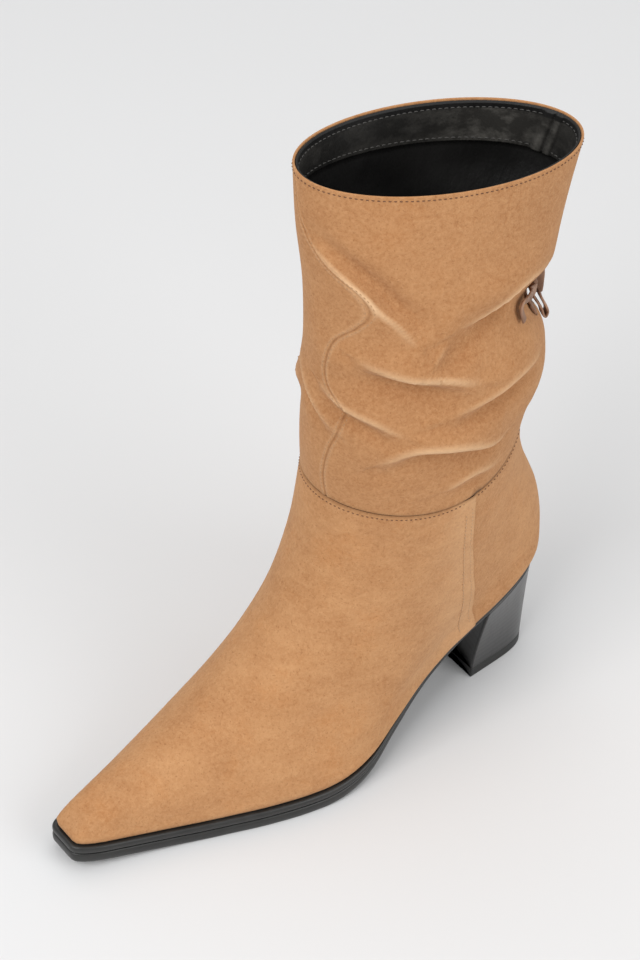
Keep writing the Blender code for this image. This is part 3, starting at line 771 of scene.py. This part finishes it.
def inside_of(grid, up):
    """A calmer skin that keeps inside all the folds, and meets the first near the collar.

    Each place is as far from its ring's middle as the nearest of its neighbours is.
    """
    middle = grid.mean(axis=1, keepdims=True) * (1, 1, 0)
    away = (grid - middle) * (1, 1, 0)
    reach = np.linalg.norm(away, axis=2)
    least = reach
    for step in LINING_REACHES:
        for axis in (0, 1):
            before, after = np.roll(least, step, axis), np.roll(least, -step, axis)
            least = np.minimum.reduce([least, before, after])
    share = np.clip((LINING_MEETS - up) / 0.18, 0, 1) * np.clip((up - 0.02) / 0.05, 0, 1)
    share = share * share * (3 - 2 * share)
    reach_now = reach + (least - LINING_SLACK - reach) * share
    return grid + away * (reach_now / reach - 1)[:, :, None]


def grid_quads(rows, columns, closed_around=True, closed_up=False):
    """Corners of the quads that join a grid of points, row by row."""
    row = np.arange(rows if closed_up else rows - 1)[:, None]
    place = np.arange(columns if closed_around else columns - 1)[None, :]
    low = row * columns
    high = (row + 1) % rows * columns
    after = (place + 1) % columns
    corners = np.broadcast_arrays(low + place, low + after, high + after, high + place)
    return np.stack(corners, -1).reshape(-1, 4)


def link(name, data):
    """An object for a mesh, a lamp or a camera, put into the scene."""
    made = bpy.data.objects.new(name, data)
    bpy.context.scene.collection.objects.link(made)
    return made


def grid_mesh(name, grid, closed_around=True, closed_up=False, flip=False):
    """A mesh object from a grid of points: rows by columns, joined to quads."""
    rows, columns = grid.shape[:2]
    quads = grid_quads(rows, columns, closed_around, closed_up)
    if flip:
        quads = quads[:, ::-1]
    mesh = bpy.data.meshes.new(name)
    mesh.vertices.add(rows * columns)
    mesh.vertices.foreach_set("co", grid.reshape(-1))
    mesh.loops.add(quads.size)
    mesh.loops.foreach_set("vertex_index", quads.reshape(-1))
    mesh.polygons.add(len(quads))
    mesh.polygons.foreach_set("loop_start", np.arange(0, quads.size, 4))
    mesh.polygons.foreach_set("loop_total", np.full(len(quads), 4))
    mesh.polygons.foreach_set("use_smooth", np.ones(len(quads), bool))
    mesh.update(calc_edges=True)
    mesh.validate()
    return link(name, mesh)


def paint(piece, name, values):
    """A value for each point of a piece, which its material reads."""
    field = piece.data.attributes.new(name, "FLOAT", "POINT")
    field.data.foreach_set("value", np.asarray(values, float).reshape(-1))


def dress(piece, look, slot, *nodes):
    """Material, body and the nodes that a piece stands for. slot is not used."""
    piece.data.materials.clear()
    piece.data.materials.append(look)
    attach(piece, "root")
    if nodes:
        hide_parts(*nodes)
    return piece


class Nodes:
    """Short words for building a material's nodes."""

    def __init__(self, name):
        self.material = bpy.data.materials.new(name)
        self.material.use_nodes = True
        self.tree = self.material.node_tree
        self.shader = self.tree.nodes["Principled BSDF"]
        place = self.tree.nodes.new("ShaderNodeTexCoord")
        self.place = place.outputs["Object"]

    def put(self, kind, **inputs):
        """A node with values or links for its inputs, by name with _ for spaces, or i0, i1."""
        node = self.tree.nodes.new(kind)
        for name, value in inputs.items():
            key = int(name[1:]) if name[1:].isdigit() else name.replace("_", " ")
            self.give(node.inputs[key], value)
        return node

    def give(self, socket, value):
        """A value or a link for one socket."""
        if isinstance(value, bpy.types.NodeSocket):
            self.tree.links.new(value, socket)
        else:
            socket.default_value = value

    def noise(self, scale, detail=4.0, roughness=0.6, stretch=None):
        """Noise on the object's own coordinates."""
        place = self.place
        if stretch:
            place = self.put("ShaderNodeMapping", Vector=place, Scale=stretch).outputs[0]
        node = self.put("ShaderNodeTexNoise", Vector=place, Scale=scale, Detail=detail,
                        Roughness=roughness)
        return node.outputs["Fac"]

    def patches(self, scale, detail, roughness, low, high, stretch=None):
        """Noise spread to 0 at low and 1 at high."""
        node = self.put("ShaderNodeMapRange", Value=self.noise(scale, detail, roughness, stretch),
                        From_Min=low, From_Max=high)
        return node.outputs[0]

    def math(self, operation, first, second=0.0, clamp=False):
        """One sum, product or the like."""
        node = self.put("ShaderNodeMath", i0=first, i1=second)
        node.operation = operation
        node.use_clamp = clamp
        return node.outputs[0]

    def plus(self, first, second, clamp=False):
        """A sum."""
        return self.math("ADD", first, second, clamp)

    def times(self, first, second, clamp=False):
        """A product."""
        return self.math("MULTIPLY", first, second, clamp)

    def mix(self, share, first, second):
        """A mix of two colours."""
        node = self.tree.nodes.new("ShaderNodeMix")
        node.data_type = "RGBA"
        self.give(node.inputs[0], share)
        self.give(node.inputs[6], first)
        self.give(node.inputs[7], second)
        return node.outputs[2]

    def field(self, name):
        """A painted value of the piece."""
        node = self.tree.nodes.new("ShaderNodeAttribute")
        node.attribute_name = name
        return node.outputs["Fac"]

    def bump(self, height, distance, strength=1.0, under=None):
        """Relief by bump, over another relief if given."""
        node = self.put("ShaderNodeBump", Height=height, Distance=distance, Strength=strength)
        if under is not None:
            self.give(node.inputs["Normal"], under)
        return node.outputs[0]

    def finish(self, **inputs):
        """Values and links for the shader."""
        for name, value in inputs.items():
            self.give(self.shader.inputs[name.replace("_", " ")], value)
        return self.material


def suede_look(name, tone):
    """Napped suede: brushed patches, fine fibres, crests lighter by worn nap and painted
    highlight, painted shade in hollows and troughs, and painted shadow along edges.
    """
    made = Nodes(name)
    mottle = made.noise(560, 3, 0.75)
    wear_and_light = made.field("light")
    # Painted shade: negative light, and the tone that darkens a whole piece, mix towards
    # SUEDE_DARK.
    shade = made.plus(made.times(wear_and_light, -1.0, clamp=True), tone, clamp=True)
    colour = made.mix(made.times(made.patches(26, 4, 0.6, 0.30, 0.70), 0.7), SUEDE_DARK, SUEDE_MID)
    brushed = made.patches(110, 4, 0.65, 0.32, 0.70, (0.6, 0.6, 1.2))
    colour = made.mix(made.times(brushed, 0.40), colour, SUEDE_LIGHT)
    colour = made.mix(made.times(made.patches(48, 3, 0.6, 0.52, 0.74), 0.45), colour, SUEDE_WARM)
    colour = made.mix(shade, colour, SUEDE_DARK)
    speckle = made.put("ShaderNodeMapRange", Value=mottle, From_Min=0.30, From_Max=0.72)
    colour = made.mix(made.times(speckle.outputs[0], 0.50), colour, SUEDE_LIGHT)
    colour = made.mix(made.times(made.patches(1000, 2, 0.6, 0.58, 0.75), 0.60), colour, SUEDE_PIT)
    # Painted highlight over worn nap where the light is positive.
    colour = made.mix(made.times(wear_and_light, 0.85, clamp=True), colour, SUEDE_WORN_AND_LIT)
    # Painted shadow along hems and seams.
    colour = made.mix(made.times(made.field("edge"), 0.8, clamp=True), colour, SUEDE_EDGE_SHADE)
    relief = made.bump(made.noise(70, 4, 0.5), 0.0010, 0.30)
    relief = made.bump(mottle, 0.00045, 0.9, relief)
    relief = made.bump(made.noise(2200, 2, 0.7), 0.00010, 0.7, relief)
    return made.finish(Base_Color=colour, Roughness=0.95, Specular_IOR_Level=0.12,
                       Sheen_Weight=0.20, Sheen_Roughness=0.5, Sheen_Tint=SUEDE_SHEEN,
                       Normal=relief)


def leather_look(name, tone=0.006, gloss=0.26):
    """Black lining leather: fine pebbled grain, soft wrinkles, a little gloss, and painted sheen
    where the light field is set.
    """
    made = Nodes(name)
    cells = made.put("ShaderNodeTexVoronoi", Vector=made.place, Scale=900.0)
    patches = made.patches(30, 3, 0.5, 0.35, 0.7)
    colour = made.mix(patches, (tone * 0.7, tone * 0.65, tone * 0.62, 1),
                      (tone * 1.8, tone * 1.7, tone * 1.6, 1))
    # Painted sheen: streaky lighter patches where the light field is set.
    light = made.field("light")
    sheen = made.patches(60, 5, 0.7, 0.42, 0.75, (1.0, 1.0, 1.6))
    lit = made.times(light, made.plus(made.times(sheen, 0.82), 0.18))
    colour = made.mix(lit, colour, LEATHER_LIT)
    relief = made.bump(made.noise(90, 5, 0.6, (1.0, 1.0, 0.35)), 0.0016, 0.8)
    relief = made.bump(cells.outputs["Distance"], 0.00012, 0.5, relief)
    dull = made.times(made.math("SUBTRACT", 1.0, light, clamp=True), 0.24)
    rough = made.plus(made.plus(made.times(patches, 0.10), gloss), dull)
    return made.finish(Base_Color=colour, Roughness=rough, Specular_IOR_Level=0.42, Normal=relief)


def rubber_look(name, tone, rough):
    """Black sole edge: fine buffing lines along the edge, dust and small scuffs."""
    made = Nodes(name)
    dust = made.patches(45, 5, 0.65, 0.45, 0.75)
    colour = made.mix(made.times(dust, 0.35), (tone, tone, tone * 0.95, 1),
                      (tone * 3, tone * 2.9, tone * 2.7, 1))
    return made.finish(Base_Color=colour, Roughness=made.plus(made.times(dust, 0.18), rough),
                       Normal=made.bump(made.noise(260, 3, 0.6, (1.0, 1.0, 7.0)), 0.0002, 0.35))


def lacquer_look(name):
    """Black lacquered heel: a smooth coat over faint stacked layers and fine scratches."""
    made = Nodes(name)
    layers = made.put("ShaderNodeTexWave", Vector=made.place, Scale=90.0, Distortion=0.6,
                      Detail=2.0)
    layers.bands_direction = "Z"
    bands = layers.outputs["Fac"]
    scratches = made.patches(500, 4, 0.7, 0.55, 0.9, (1.0, 1.0, 0.1))
    return made.finish(Base_Color=made.mix(made.times(bands, 0.25), LACQUER_DARK, LACQUER_LIGHT),
                       Roughness=made.plus(made.times(scratches, 0.15), 0.36),
                       Coat_Weight=0.25, Coat_Roughness=0.22,
                       Normal=made.bump(bands, 0.00008, 0.25))


def strap_look(name):
    """Brown strap of the tie: smooth face with paler patches and a fine grain."""
    made = Nodes(name)
    colour = made.mix(made.patches(120, 3, 0.6, 0.3, 0.7), STRAP_DARK, STRAP_PALE)
    return made.finish(Base_Color=colour, Roughness=0.62, Specular_IOR_Level=0.4,
                       Normal=made.bump(made.noise(1300, 4, 0.65), 0.00012, 0.5))


def thread_look(name, colour):
    """Stitch thread: a twisted yarn's light and dark turns."""
    made = Nodes(name)
    twist = made.noise(3200, 2, 0.5)
    dark = tuple(0.6 * part for part in colour[:3]) + (1,)
    return made.finish(Base_Color=made.mix(twist, dark, colour), Roughness=0.8,
                       Normal=made.bump(twist, 0.0001, 0.6))


def seam_place(table, up):
    """Where a seam lies around the ring at a height."""
    up = np.asarray(up, float)
    return read_table(table, 1, up.reshape(-1)).reshape(up.shape)


def eased(share, crowd):
    """Shares from 0 to 1 that crowd towards both ends."""
    return share - crowd * np.sin(2 * math.pi * share) / (2 * math.pi)


def wall_profile(rows, inner_rows, low_turn, high_turn):
    """Places up and outwards of a closed suede wall: outside up, over the edge, inside down.

    low_turn and high_turn are the heights, as shares, over which the edges round off.
    """
    edge = np.linspace(0, math.pi, 7)[1:-1]
    down = np.linspace(1 - high_turn, low_turn, inner_rows)
    up = low_turn + (1 - low_turn - high_turn) * eased(np.linspace(0, 1, rows), 0.3)
    return np.concatenate([np.stack(run, 1) for run in (
        (up, np.zeros(rows)),
        (1 - high_turn * (1 - np.sin(edge)), -SUEDE * (1 - np.cos(edge)) / 2),
        (down, np.full(inner_rows, -SUEDE)),
        (low_turn * (1 - np.sin(edge)), -SUEDE * (1 + np.cos(edge)) / 2))])


def build_shaft_suede(skin, light, look):
    """The shaft's suede: a closed wall with the front seam let into its outside.

    On the seam a narrow bell curve dips, and beside it a wider one stands out.
    """
    profile = wall_profile(rows=170, inner_rows=70, low_turn=0.003, high_turn=0.004)
    up = profile[:, :1]
    # Columns crowd towards the seam, which runs along the first one, and drift with it.
    share = eased(np.arange(SHAFT_COLUMNS) / SHAFT_COLUMNS, 0.8)[None, :]
    near = np.minimum(share, 1 - share)
    around = share + seam_place(FRONT_SEAM, up) * bell(near, SEAM_DRIFT)
    away = near * SHAFT_GIRTH
    outside = profile[:, 1:] > -0.5 * SUEDE
    dip = bell(away, SEAM_WIDTH) * outside
    ridge = bell(away - SEAM_RIDGE, 0.0013) * outside
    out = profile[:, 1:] - SEAM_DIP * dip + SEAM_RISE * ridge
    piece = grid_mesh("shaft_suede", skin.at(around, up, out), closed_up=True)
    # Painted light: the creases' highlights and shades, and a painted highlight on the low ridge
    # beside the front seam.
    wear_and_light = skin.read(light[:, :, None], around, up)[..., 0]
    paint(piece, "light", wear_and_light + 0.22 * bell(away - SEAM_RIDGE, 0.0012) * outside)
    # Painted shade: the hem's shadow is darkest from the side seam to the back and in a notch at
    # that seam, and the front seam's dip is a little darker.
    rear = np.clip((around % 1 - 0.25) / 0.03, 0, 1) * np.clip((0.55 - around % 1) / 0.05, 0, 1)
    hem = bell(up, 0.007) * (0.35 + 0.9 * rear)
    notch = bell(around - 0.262, 0.006) * bell(up, 0.014)
    paint(piece, "edge", 0.26 * dip + hem + 1.2 * notch)
    return dress(piece, look, "suede", "shaft")


def build_foot_suede(skin, name, ends, columns, lap, wear_and_light, look, *nodes):
    """A panel of the foot from one side seam to another, as a closed wall.

    ends gives the panel's two edges from the seam's place around. Where the panel laps
    over its neighbour, it stands out by lap near those edges.
    """
    profile = wall_profile(rows=170, inner_rows=60, low_turn=0.004, high_turn=0.006)
    up = profile[:, :1]
    share = eased(np.linspace(0, 1, columns), 0.85)[None, :]
    start, end = ends(seam_place(SIDE_SEAM, up))
    near = np.minimum(share, 1 - share) * (end - start) * FOOT_GIRTH
    overhang = FEATHER_BULGE * bell(up - 0.035, 0.045) * (profile[:, 1:] > -0.5 * SUEDE)
    out = profile[:, 1:] + lap * bell(near, LAP_WIDTH, 4) + overhang
    grid = skin.at(start + (end - start) * share, up, out)
    piece = grid_mesh(name, grid, closed_around=False, closed_up=True)
    # Painted light near the side seams: painted highlight on the vamp's lapped edges, painted shade
    # on the quarters beside them.
    paint(piece, "light", wear_and_light * bell(near, 0.0100))
    # Painted shadow: dark lines under the ankle seam and over the sole.
    dark = 0.5 * bell(1 - up, 0.005) + 0.8 * bell(up, 0.010)
    paint(piece, "edge", np.broadcast_to(dark, near.shape))
    return dress(piece, look, "suede", *nodes)


def facing_edge(around, shaft):
    """Height of the facing's lower edge, which dips towards the back."""
    least, swing = FACING_DEPTH
    return 1 - (least - swing * np.cos(2 * math.pi * around)) / shaft_height(shaft.grid)


def build_lining(foot, shaft, look):
    """The lining from the insole to the collar, with its facing band at the top.

    Its rings run up the foot, up the shaft, up the facing with the back seam's strip, and
    in a half turn over the collar's edge.
    """
    inside = SUEDE + LAYER_GAP
    deep = inside + LINING_EASE
    around = (np.arange(LINING_COLUMNS) / LINING_COLUMNS)[None, :]
    facing = facing_edge(around, shaft)
    off_seam = around - BACK_SEAM
    strip = STRIP_THICK * bell(off_seam, STRIP_HALF, 12) - SLIT_DEEP * bell(off_seam, SLIT_HALF)
    foot_up, shaft_up, facing_up = (np.linspace(*run)[:, None] for run in LINING_RUNS)
    turn = np.linspace(0, math.pi, 7)[:, None]
    rings = np.concatenate((
        foot.at(around, foot_up, -deep),
        shaft.at(around, 0.01 + (facing - 0.01) * shaft_up, -deep),
        shaft.at(around, facing + 0.001 + (0.991 - facing) * facing_up,
                 -deep - FACING_STEP - strip),
        shaft.at(around, 0.992 + 0.004 * np.sin(turn),
                 -inside - (WALL - inside) * (1 + np.cos(turn)) / 2),
        shaft.at(around, 0.95, -inside)))
    piece = grid_mesh("lining", rings, flip=True)
    # Painted sheen on the facing: broad on the far inner wall, and along both edges of the back
    # seam's strip.
    light = np.zeros(rings.shape[:2])
    light[-FACING_LIT[0]:-FACING_LIT[1]] = (0.30 + 0.90 * bell(around - 0.655, 0.060)
                                            + 0.55 * bell(abs(off_seam) - 0.014, 0.007))
    paint(piece, "light", light)
    return dress(piece, look, "lining_leather")


def stitches(name, places, normals, ahead, look, slot, length, thick):
    """A row of stitches: each is a rounded grain that arches out of the surface.

    Along its length t from -1 to 1 the centre is lifted by a parabola, and its round
    section shrinks to the ends as the root of 1 - t squared.
    """
    sections = np.linspace(-1, 1, STITCH_POINTS)
    angles = np.linspace(0, 2 * math.pi, STITCH_POINTS, endpoint=False)[None, None, :, None]
    side = np.cross(normals, ahead)[:, None, None]
    radius = thick / 2 * np.sqrt(np.clip(1 - sections ** 2, 0.05, 1))[None, :, None, None]
    lift = thick * 0.25 - thick * 0.6 * sections ** 2
    ring = (side * np.cos(angles) + normals[:, None, None] * np.sin(angles)) * radius
    spine = (places[:, None] + ahead[:, None] * (sections * length / 2)[None, :, None]
             + normals[:, None] * lift[None, :, None])
    points = spine[:, :, None] + ring
    count, rows, columns = points.shape[:3]
    first = (np.arange(count) * rows * columns)[:, None]
    quads = (grid_quads(rows, columns)[None] + first[:, None]).reshape(-1, 4)
    low = np.arange(columns)[::-1] + first
    high = (rows - 1) * columns + np.arange(columns) + first
    mesh = bpy.data.meshes.new(name)
    mesh.from_pydata(points.reshape(-1, 3).tolist(), [],
                     quads[:, ::-1].tolist() + np.concatenate((low, high))[:, ::-1].tolist())
    mesh.polygons.foreach_set("use_smooth", np.ones(len(mesh.polygons), bool))
    return dress(link(name, mesh), look, slot)


def stitch_row(skin, name, around, up, out, look, slot, sizes):
    """Stitches at an even pitch along a line on a skin, given by its places around and up."""
    pitch, length, thick = sizes
    line = skin.at(around, up, out)
    run = np.concatenate(([0], np.cumsum(np.linalg.norm(np.diff(line, axis=0), axis=1))))
    at = np.arange(pitch / 2, run[-1], pitch)
    places = np.stack([np.interp(at, run, line[:, axis]) for axis in range(3)], 1)
    ahead = unit(np.stack([np.interp(at, run, np.gradient(line[:, axis])) for axis in range(3)], 1))
    normals = skin.read(skin.normal, np.interp(at, run, around), np.interp(at, run, up))
    normals = unit(normals - ahead * np.sum(normals * ahead, axis=1, keepdims=True))
    return stitches(name, places, normals, ahead, look, slot, length, thick)


def edge_bead(level, low, high, bulge, steps):
    """Rings of a rounded edge between two heights, a half circle that bulges outwards."""
    rings = []
    for angle in np.linspace(0, math.pi, steps):
        inset = bulge * (1 - abs(math.sin(angle)) ** 0.7)
        rings.append(lifted(outline_ring(lambda y, inset=inset: ledge(0)(y) - inset),
                            level(low + (high - low) * (1 - math.cos(angle)) / 2)))
    return rings


def level_of(bottom, thin, thick):
    """Gives, for a share of a plate's thickness, the height there along the foot."""
    return lambda share: lambda y: bottom(y) + share * thickness(y, thin, thick)


def build_outsole(look):
    """Outsole: rounded edge, flat tread, and the rim that stands up inside the welt."""
    level = level_of(sole_bottom, OUTSOLE_THIN, OUTSOLE_THICK)
    inner = inset_ring(WELT_WIDTH)
    core = inset_ring(SOLE_CORE)
    rings = [lifted(core, level(0.0)), lifted(inset_ring(TREAD_EDGE), level(0.0)),
             *edge_bead(level, *OUTSOLE_BEAD),
             lifted(inner, level(1.0)), lifted(inner, feather_height), lifted(core, feather_height)]
    return capped("outsole_edge", rings, look, "sole_rubber", "outsole")


def build_welt(look):
    """Welt: a rounded bead at its edge, over the groove above the outsole."""
    level = level_of(welt_bottom, WELT_THIN, WELT_THICK)
    inner = inset_ring(WELT_WIDTH - RISER_GAP)
    rings = [lifted(inner, level(0.0)), *edge_bead(level, *WELT_BEAD), lifted(inner, level(1.0))]
    piece = grid_mesh("welt_bead", np.array(rings), closed_up=True)
    return dress(piece, look, "sole_rubber", "welt")


def capped(name, rings, look, slot, *nodes):
    """A closed piece from rings that climb, with both ends folded onto their middle line."""
    ends = [(ring + np.roll(ring[::-1], 1, axis=0)) / 2 for ring in (rings[0], rings[-1])]
    piece = grid_mesh(name, np.array([ends[0], *rings, ends[1]]))
    return dress(piece, look, slot, *nodes)


def build_heel(look):
    """Block heel: from its bottom to its seat it widens by a power of the height."""
    low = heel_bottom(TOP_PIECE_THICK + GAP)
    high = heel_top()
    shares = np.concatenate(([0.0], np.linspace(0.004, 1, 40)))
    rings = [low + (high - low) * (share ** HEEL_FLARE, share ** HEEL_FLARE, share)
             for share in shares]
    return capped("heel_block", rings, look, "heel_gloss", "heel")


def build_top_piece(look):
    """Top piece: a slab with a slightly rounded rim."""
    rings = [heel_bottom(TOP_PIECE_THICK * share) for share in (0, 0.08, 0.3, 0.6, 0.92, 1.0)]
    middle = rings[0].mean(axis=0) * (1, 1, 0)
    for place, ease in ((0, 0.985), (5, 0.99)):
        rings[place] = middle + (rings[place] - middle) * (ease, ease, 1)
    return capped("heel_lift", rings, look, "sole_rubber", "top_piece")


def strap_section(count):
    """Section of a strap, a squared oval: places across and outwards from -1 to 1."""
    angles = np.linspace(0, 2 * math.pi, count, endpoint=False)
    return [np.sign(wave) * abs(wave) ** power
            for wave, power in zip((np.cos(angles), np.sin(angles)), STRAP_SQUARE)]


def pinched(rings):
    """Rings with a nearly closed ring added at each end."""
    middles = rings[[0, -1]].mean(axis=1, keepdims=True)
    ends = middles + (rings[[0, -1]] - middles) * PINCH
    return np.concatenate((ends[:1], rings, ends[1:]))


def strap_grid(first_across, last_across, route):
    """Centre line and rounded flat rings of a strap along its route."""
    share = np.linspace(0, 1, STRAP_ROWS)
    line = along_path(route, share)
    across = np.array(first_across) * (1 - share[:, None]) + np.array(last_across) * share[:, None]
    ahead = unit(np.gradient(line, axis=0))
    side = unit(across - ahead * np.sum(ahead * across, axis=1, keepdims=True))
    wide, thick = strap_section(24)
    rings = (line[:, None] + side[:, None] * (wide * STRAP_WIDTH / 2)[None, :, None]
             + np.cross(ahead, side)[:, None] * (thick * STRAP_THICK / 2)[None, :, None])
    return line, rings


def build_bar(shaft, look):
    """The tie's strap across the back, laid on the skin at the bottom of the fold."""
    around = np.linspace(BAR_AROUND[0], BAR_AROUND[1], 160)
    wide, thick = strap_section(28)
    up = sum(BAR_UP) / 2 + wide * (BAR_UP[1] - BAR_UP[0]) / 2
    out = STRAP_CLEAR + STRAP_THICK * (1 + thick) / 2
    rings = shaft.at(around[:, None], up[None, :], out[None, :])
    dress(grid_mesh("strap_bar", pinched(rings)), look, "tie_strap", "tie_bar")


def build_knot(look):
    """The tie's knot: an oval pulled tight, with the strap's turns as low waves across it."""
    pole = np.linspace(0.01, math.pi - 0.01, 40)[:, None]
    girdle = np.linspace(0, 2 * math.pi, 64, endpoint=False)[None, :]
    waves = 1 + 0.07 * np.sin(pole) * np.cos(2 * girdle + 5 * pole)
    x = waves * np.sin(pole) * np.cos(girdle) * KNOT_SIZE[0] / 2
    y = waves * np.sin(pole) * np.sin(girdle) * KNOT_SIZE[1] / 2
    z = np.broadcast_to(-np.cos(pole) * KNOT_SIZE[2] / 2, x.shape)
    grid = np.stack((x * math.cos(KNOT_TURN) - y * math.sin(KNOT_TURN),
                     x * math.sin(KNOT_TURN) + y * math.cos(KNOT_TURN), z), -1) + KNOT_CENTRE
    return dress(grid_mesh("strap_knot", grid), look, "tie_strap", "tie_knot")


def build_tie(look):
    """The tie's knot, loops and ends."""
    knot = build_knot(look)
    for name, first_across, last_across, route in STRAP_TABLE:
        line, rings = strap_grid(first_across, last_across, route)
        piece = grid_mesh(name.replace("tie_", "strap_"), pinched(rings))
        dress(piece, look, "tie_strap", name)


def place_camera():
    """The photograph's camera, closed in on the one boot with its lens and shift."""
    turn = np.array(((math.cos(CAMERA_TURN), math.sin(CAMERA_TURN), 0),
                     (-math.sin(CAMERA_TURN), math.cos(CAMERA_TURN), 0), (0, 0, 1)))
    look = turn.T @ np.array((0, math.cos(CAMERA_DOWN), -math.sin(CAMERA_DOWN)))
    data = bpy.data.cameras.new("camera")
    data.sensor_fit = "VERTICAL"
    data.sensor_height = SENSOR
    data.lens = FULL_LENS * FRAMING
    data.shift_x = FRAMING_SHIFT[0] * FRAMING
    data.shift_y = FRAMING_SHIFT[1] * FRAMING
    data.clip_start = 0.05
    camera = link("camera", data)
    camera.location = np.array(CAMERA_AIM) - look * CAMERA_REACH
    camera.rotation_euler = (math.pi / 2 - CAMERA_DOWN, 0, CAMERA_TURN)
    bpy.context.scene.camera = camera


def area_light(name, place, size, power):
    """A soft square box that faces the boot."""
    data = bpy.data.lights.new(name, "AREA")
    data.shape = "RECTANGLE"
    data.size = data.size_y = size
    data.energy = power
    lamp = link(name, data)
    lamp.location = place
    x, y, z = np.array(place) - LIGHT_AIM
    lamp.rotation_euler = (math.atan2(math.hypot(x, y), z), 0, math.atan2(x, -y))


def light_studio():
    """Pale floor and soft studio light."""
    made = Nodes("studio_floor")
    colour = made.mix(made.noise(4, 3, 0.5), (0.742, 0.744, 0.748, 1), (0.750, 0.752, 0.756, 1))
    mesh = bpy.data.meshes.new("studio_floor")
    corners = [(x * FLOOR_HALF, y * FLOOR_HALF, 0) for x, y in ((-1, -1), (1, -1), (1, 1), (-1, 1))]
    mesh.from_pydata(corners, [], [(0, 1, 2, 3)])
    mesh.materials.append(made.finish(Base_Color=colour, Roughness=0.85, Specular_IOR_Level=0.1))
    floor = link("studio_floor", mesh)
    world = bpy.data.worlds.new("studio")
    world.use_nodes = True
    sky = world.node_tree.nodes["Background"]
    sky.inputs["Color"].default_value = (1, 1, 1, 1)
    sky.inputs["Strength"].default_value = SKY_STRENGTH
    bpy.context.scene.world = world
    for lamp in LIGHTS:
        area_light(*lamp)
    bpy.context.scene.view_settings.view_transform = "Standard"


def build_stitches(foot, shaft, inner_shaft):
    """All rows of stitches: collar, ankle, side seams, front seam, facing and rim."""
    pale = thread_look("thread_pale", (0.66, 0.42, 0.24, 1))
    soft = thread_look("thread_soft", (0.56, 0.32, 0.16, 1))
    dark = thread_look("thread_dark", (0.17, 0.075, 0.035, 1))
    black = thread_look("thread_black", (0.10, 0.095, 0.09, 1))
    ring = np.linspace(0, 1, 700)
    height = shaft_height(shaft.grid)
    collar, rim = (np.full_like(ring, 1 - row / height) for row in (COLLAR_ROW, RIM_ROW))
    ankle = np.full_like(ring, ANKLE_ROW)
    stitch_row(shaft, "stitches_collar", ring, collar, 0.0, dark, "suede", COLLAR_STITCH)
    stitch_row(foot, "stitches_ankle", ring, ankle, 0.0, dark, "suede", ANKLE_STITCH)
    rise = np.linspace(0.03, 0.955, 300)
    for side, turn in (("outer", 1), ("inner", -1)):
        for row, inset in enumerate(SIDE_ROWS):
            around = turn * (seam_place(SIDE_SEAM, rise) - inset / FOOT_GIRTH)
            stitch_row(foot, f"stitches_{side}_{row}", around, rise, SEAM_STEP, pale, "suede",
                       SIDE_STITCH)
    rise = np.linspace(0.01, 0.99, 500)
    for row, offset in enumerate(FRONT_ROWS):
        around = seam_place(FRONT_SEAM, rise) + offset / SHAFT_GIRTH
        stitch_row(shaft, f"stitches_front_{row}", around, rise, THREAD_LIFT, soft, "suede",
                   FRONT_STITCH)
    out = -(SUEDE + LAYER_GAP + LINING_EASE + FACING_STEP) - THREAD_SINK
    facing = facing_edge(ring, shaft) + FACING_ROW / height
    stitch_row(inner_shaft, "stitches_facing", ring, facing, out, black, "lining_leather",
               FACING_STITCH)
    stitch_row(inner_shaft, "stitches_rim", ring, rim, out, black, "lining_leather", RIM_STITCH)


def build():
    """The whole scene."""
    place_camera()
    light_studio()
    foot = foot_skin()
    shaft, inner_shaft, light = shaft_skin()
    suede = suede_look("suede_foot", 0.0)
    edge = rubber_look("sole_edge", 0.016, 0.30)
    strap = strap_look("strap_brown")
    build_tie(strap)
    build_bar(shaft, strap)
    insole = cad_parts["insole"]
    insole.data.materials.clear()
    insole.data.materials.append(leather_look("insole_black", 0.010, 0.4))
    build_shaft_suede(shaft, light, suede_look("suede_shaft", SHAFT_SHADE))
    # Painted highlight on the vamp's edges at the side seams, painted shade on the quarters' edges.
    build_foot_suede(foot, "vamp", lambda seam: (-seam, seam), 230, SEAM_STEP, 0.25,
                     suede, "upper")
    build_foot_suede(foot, "quarters", lambda seam: (seam, 1 - seam), 150, 0.0, -0.30, suede)
    build_lining(foot, inner_shaft, leather_look("lining_black"))
    build_outsole(edge)
    build_welt(edge)
    build_heel(lacquer_look("heel_lacquer"))
    build_top_piece(rubber_look("heel_rubber", 0.016, 0.5))
    build_stitches(foot, shaft, inner_shaft)


build()
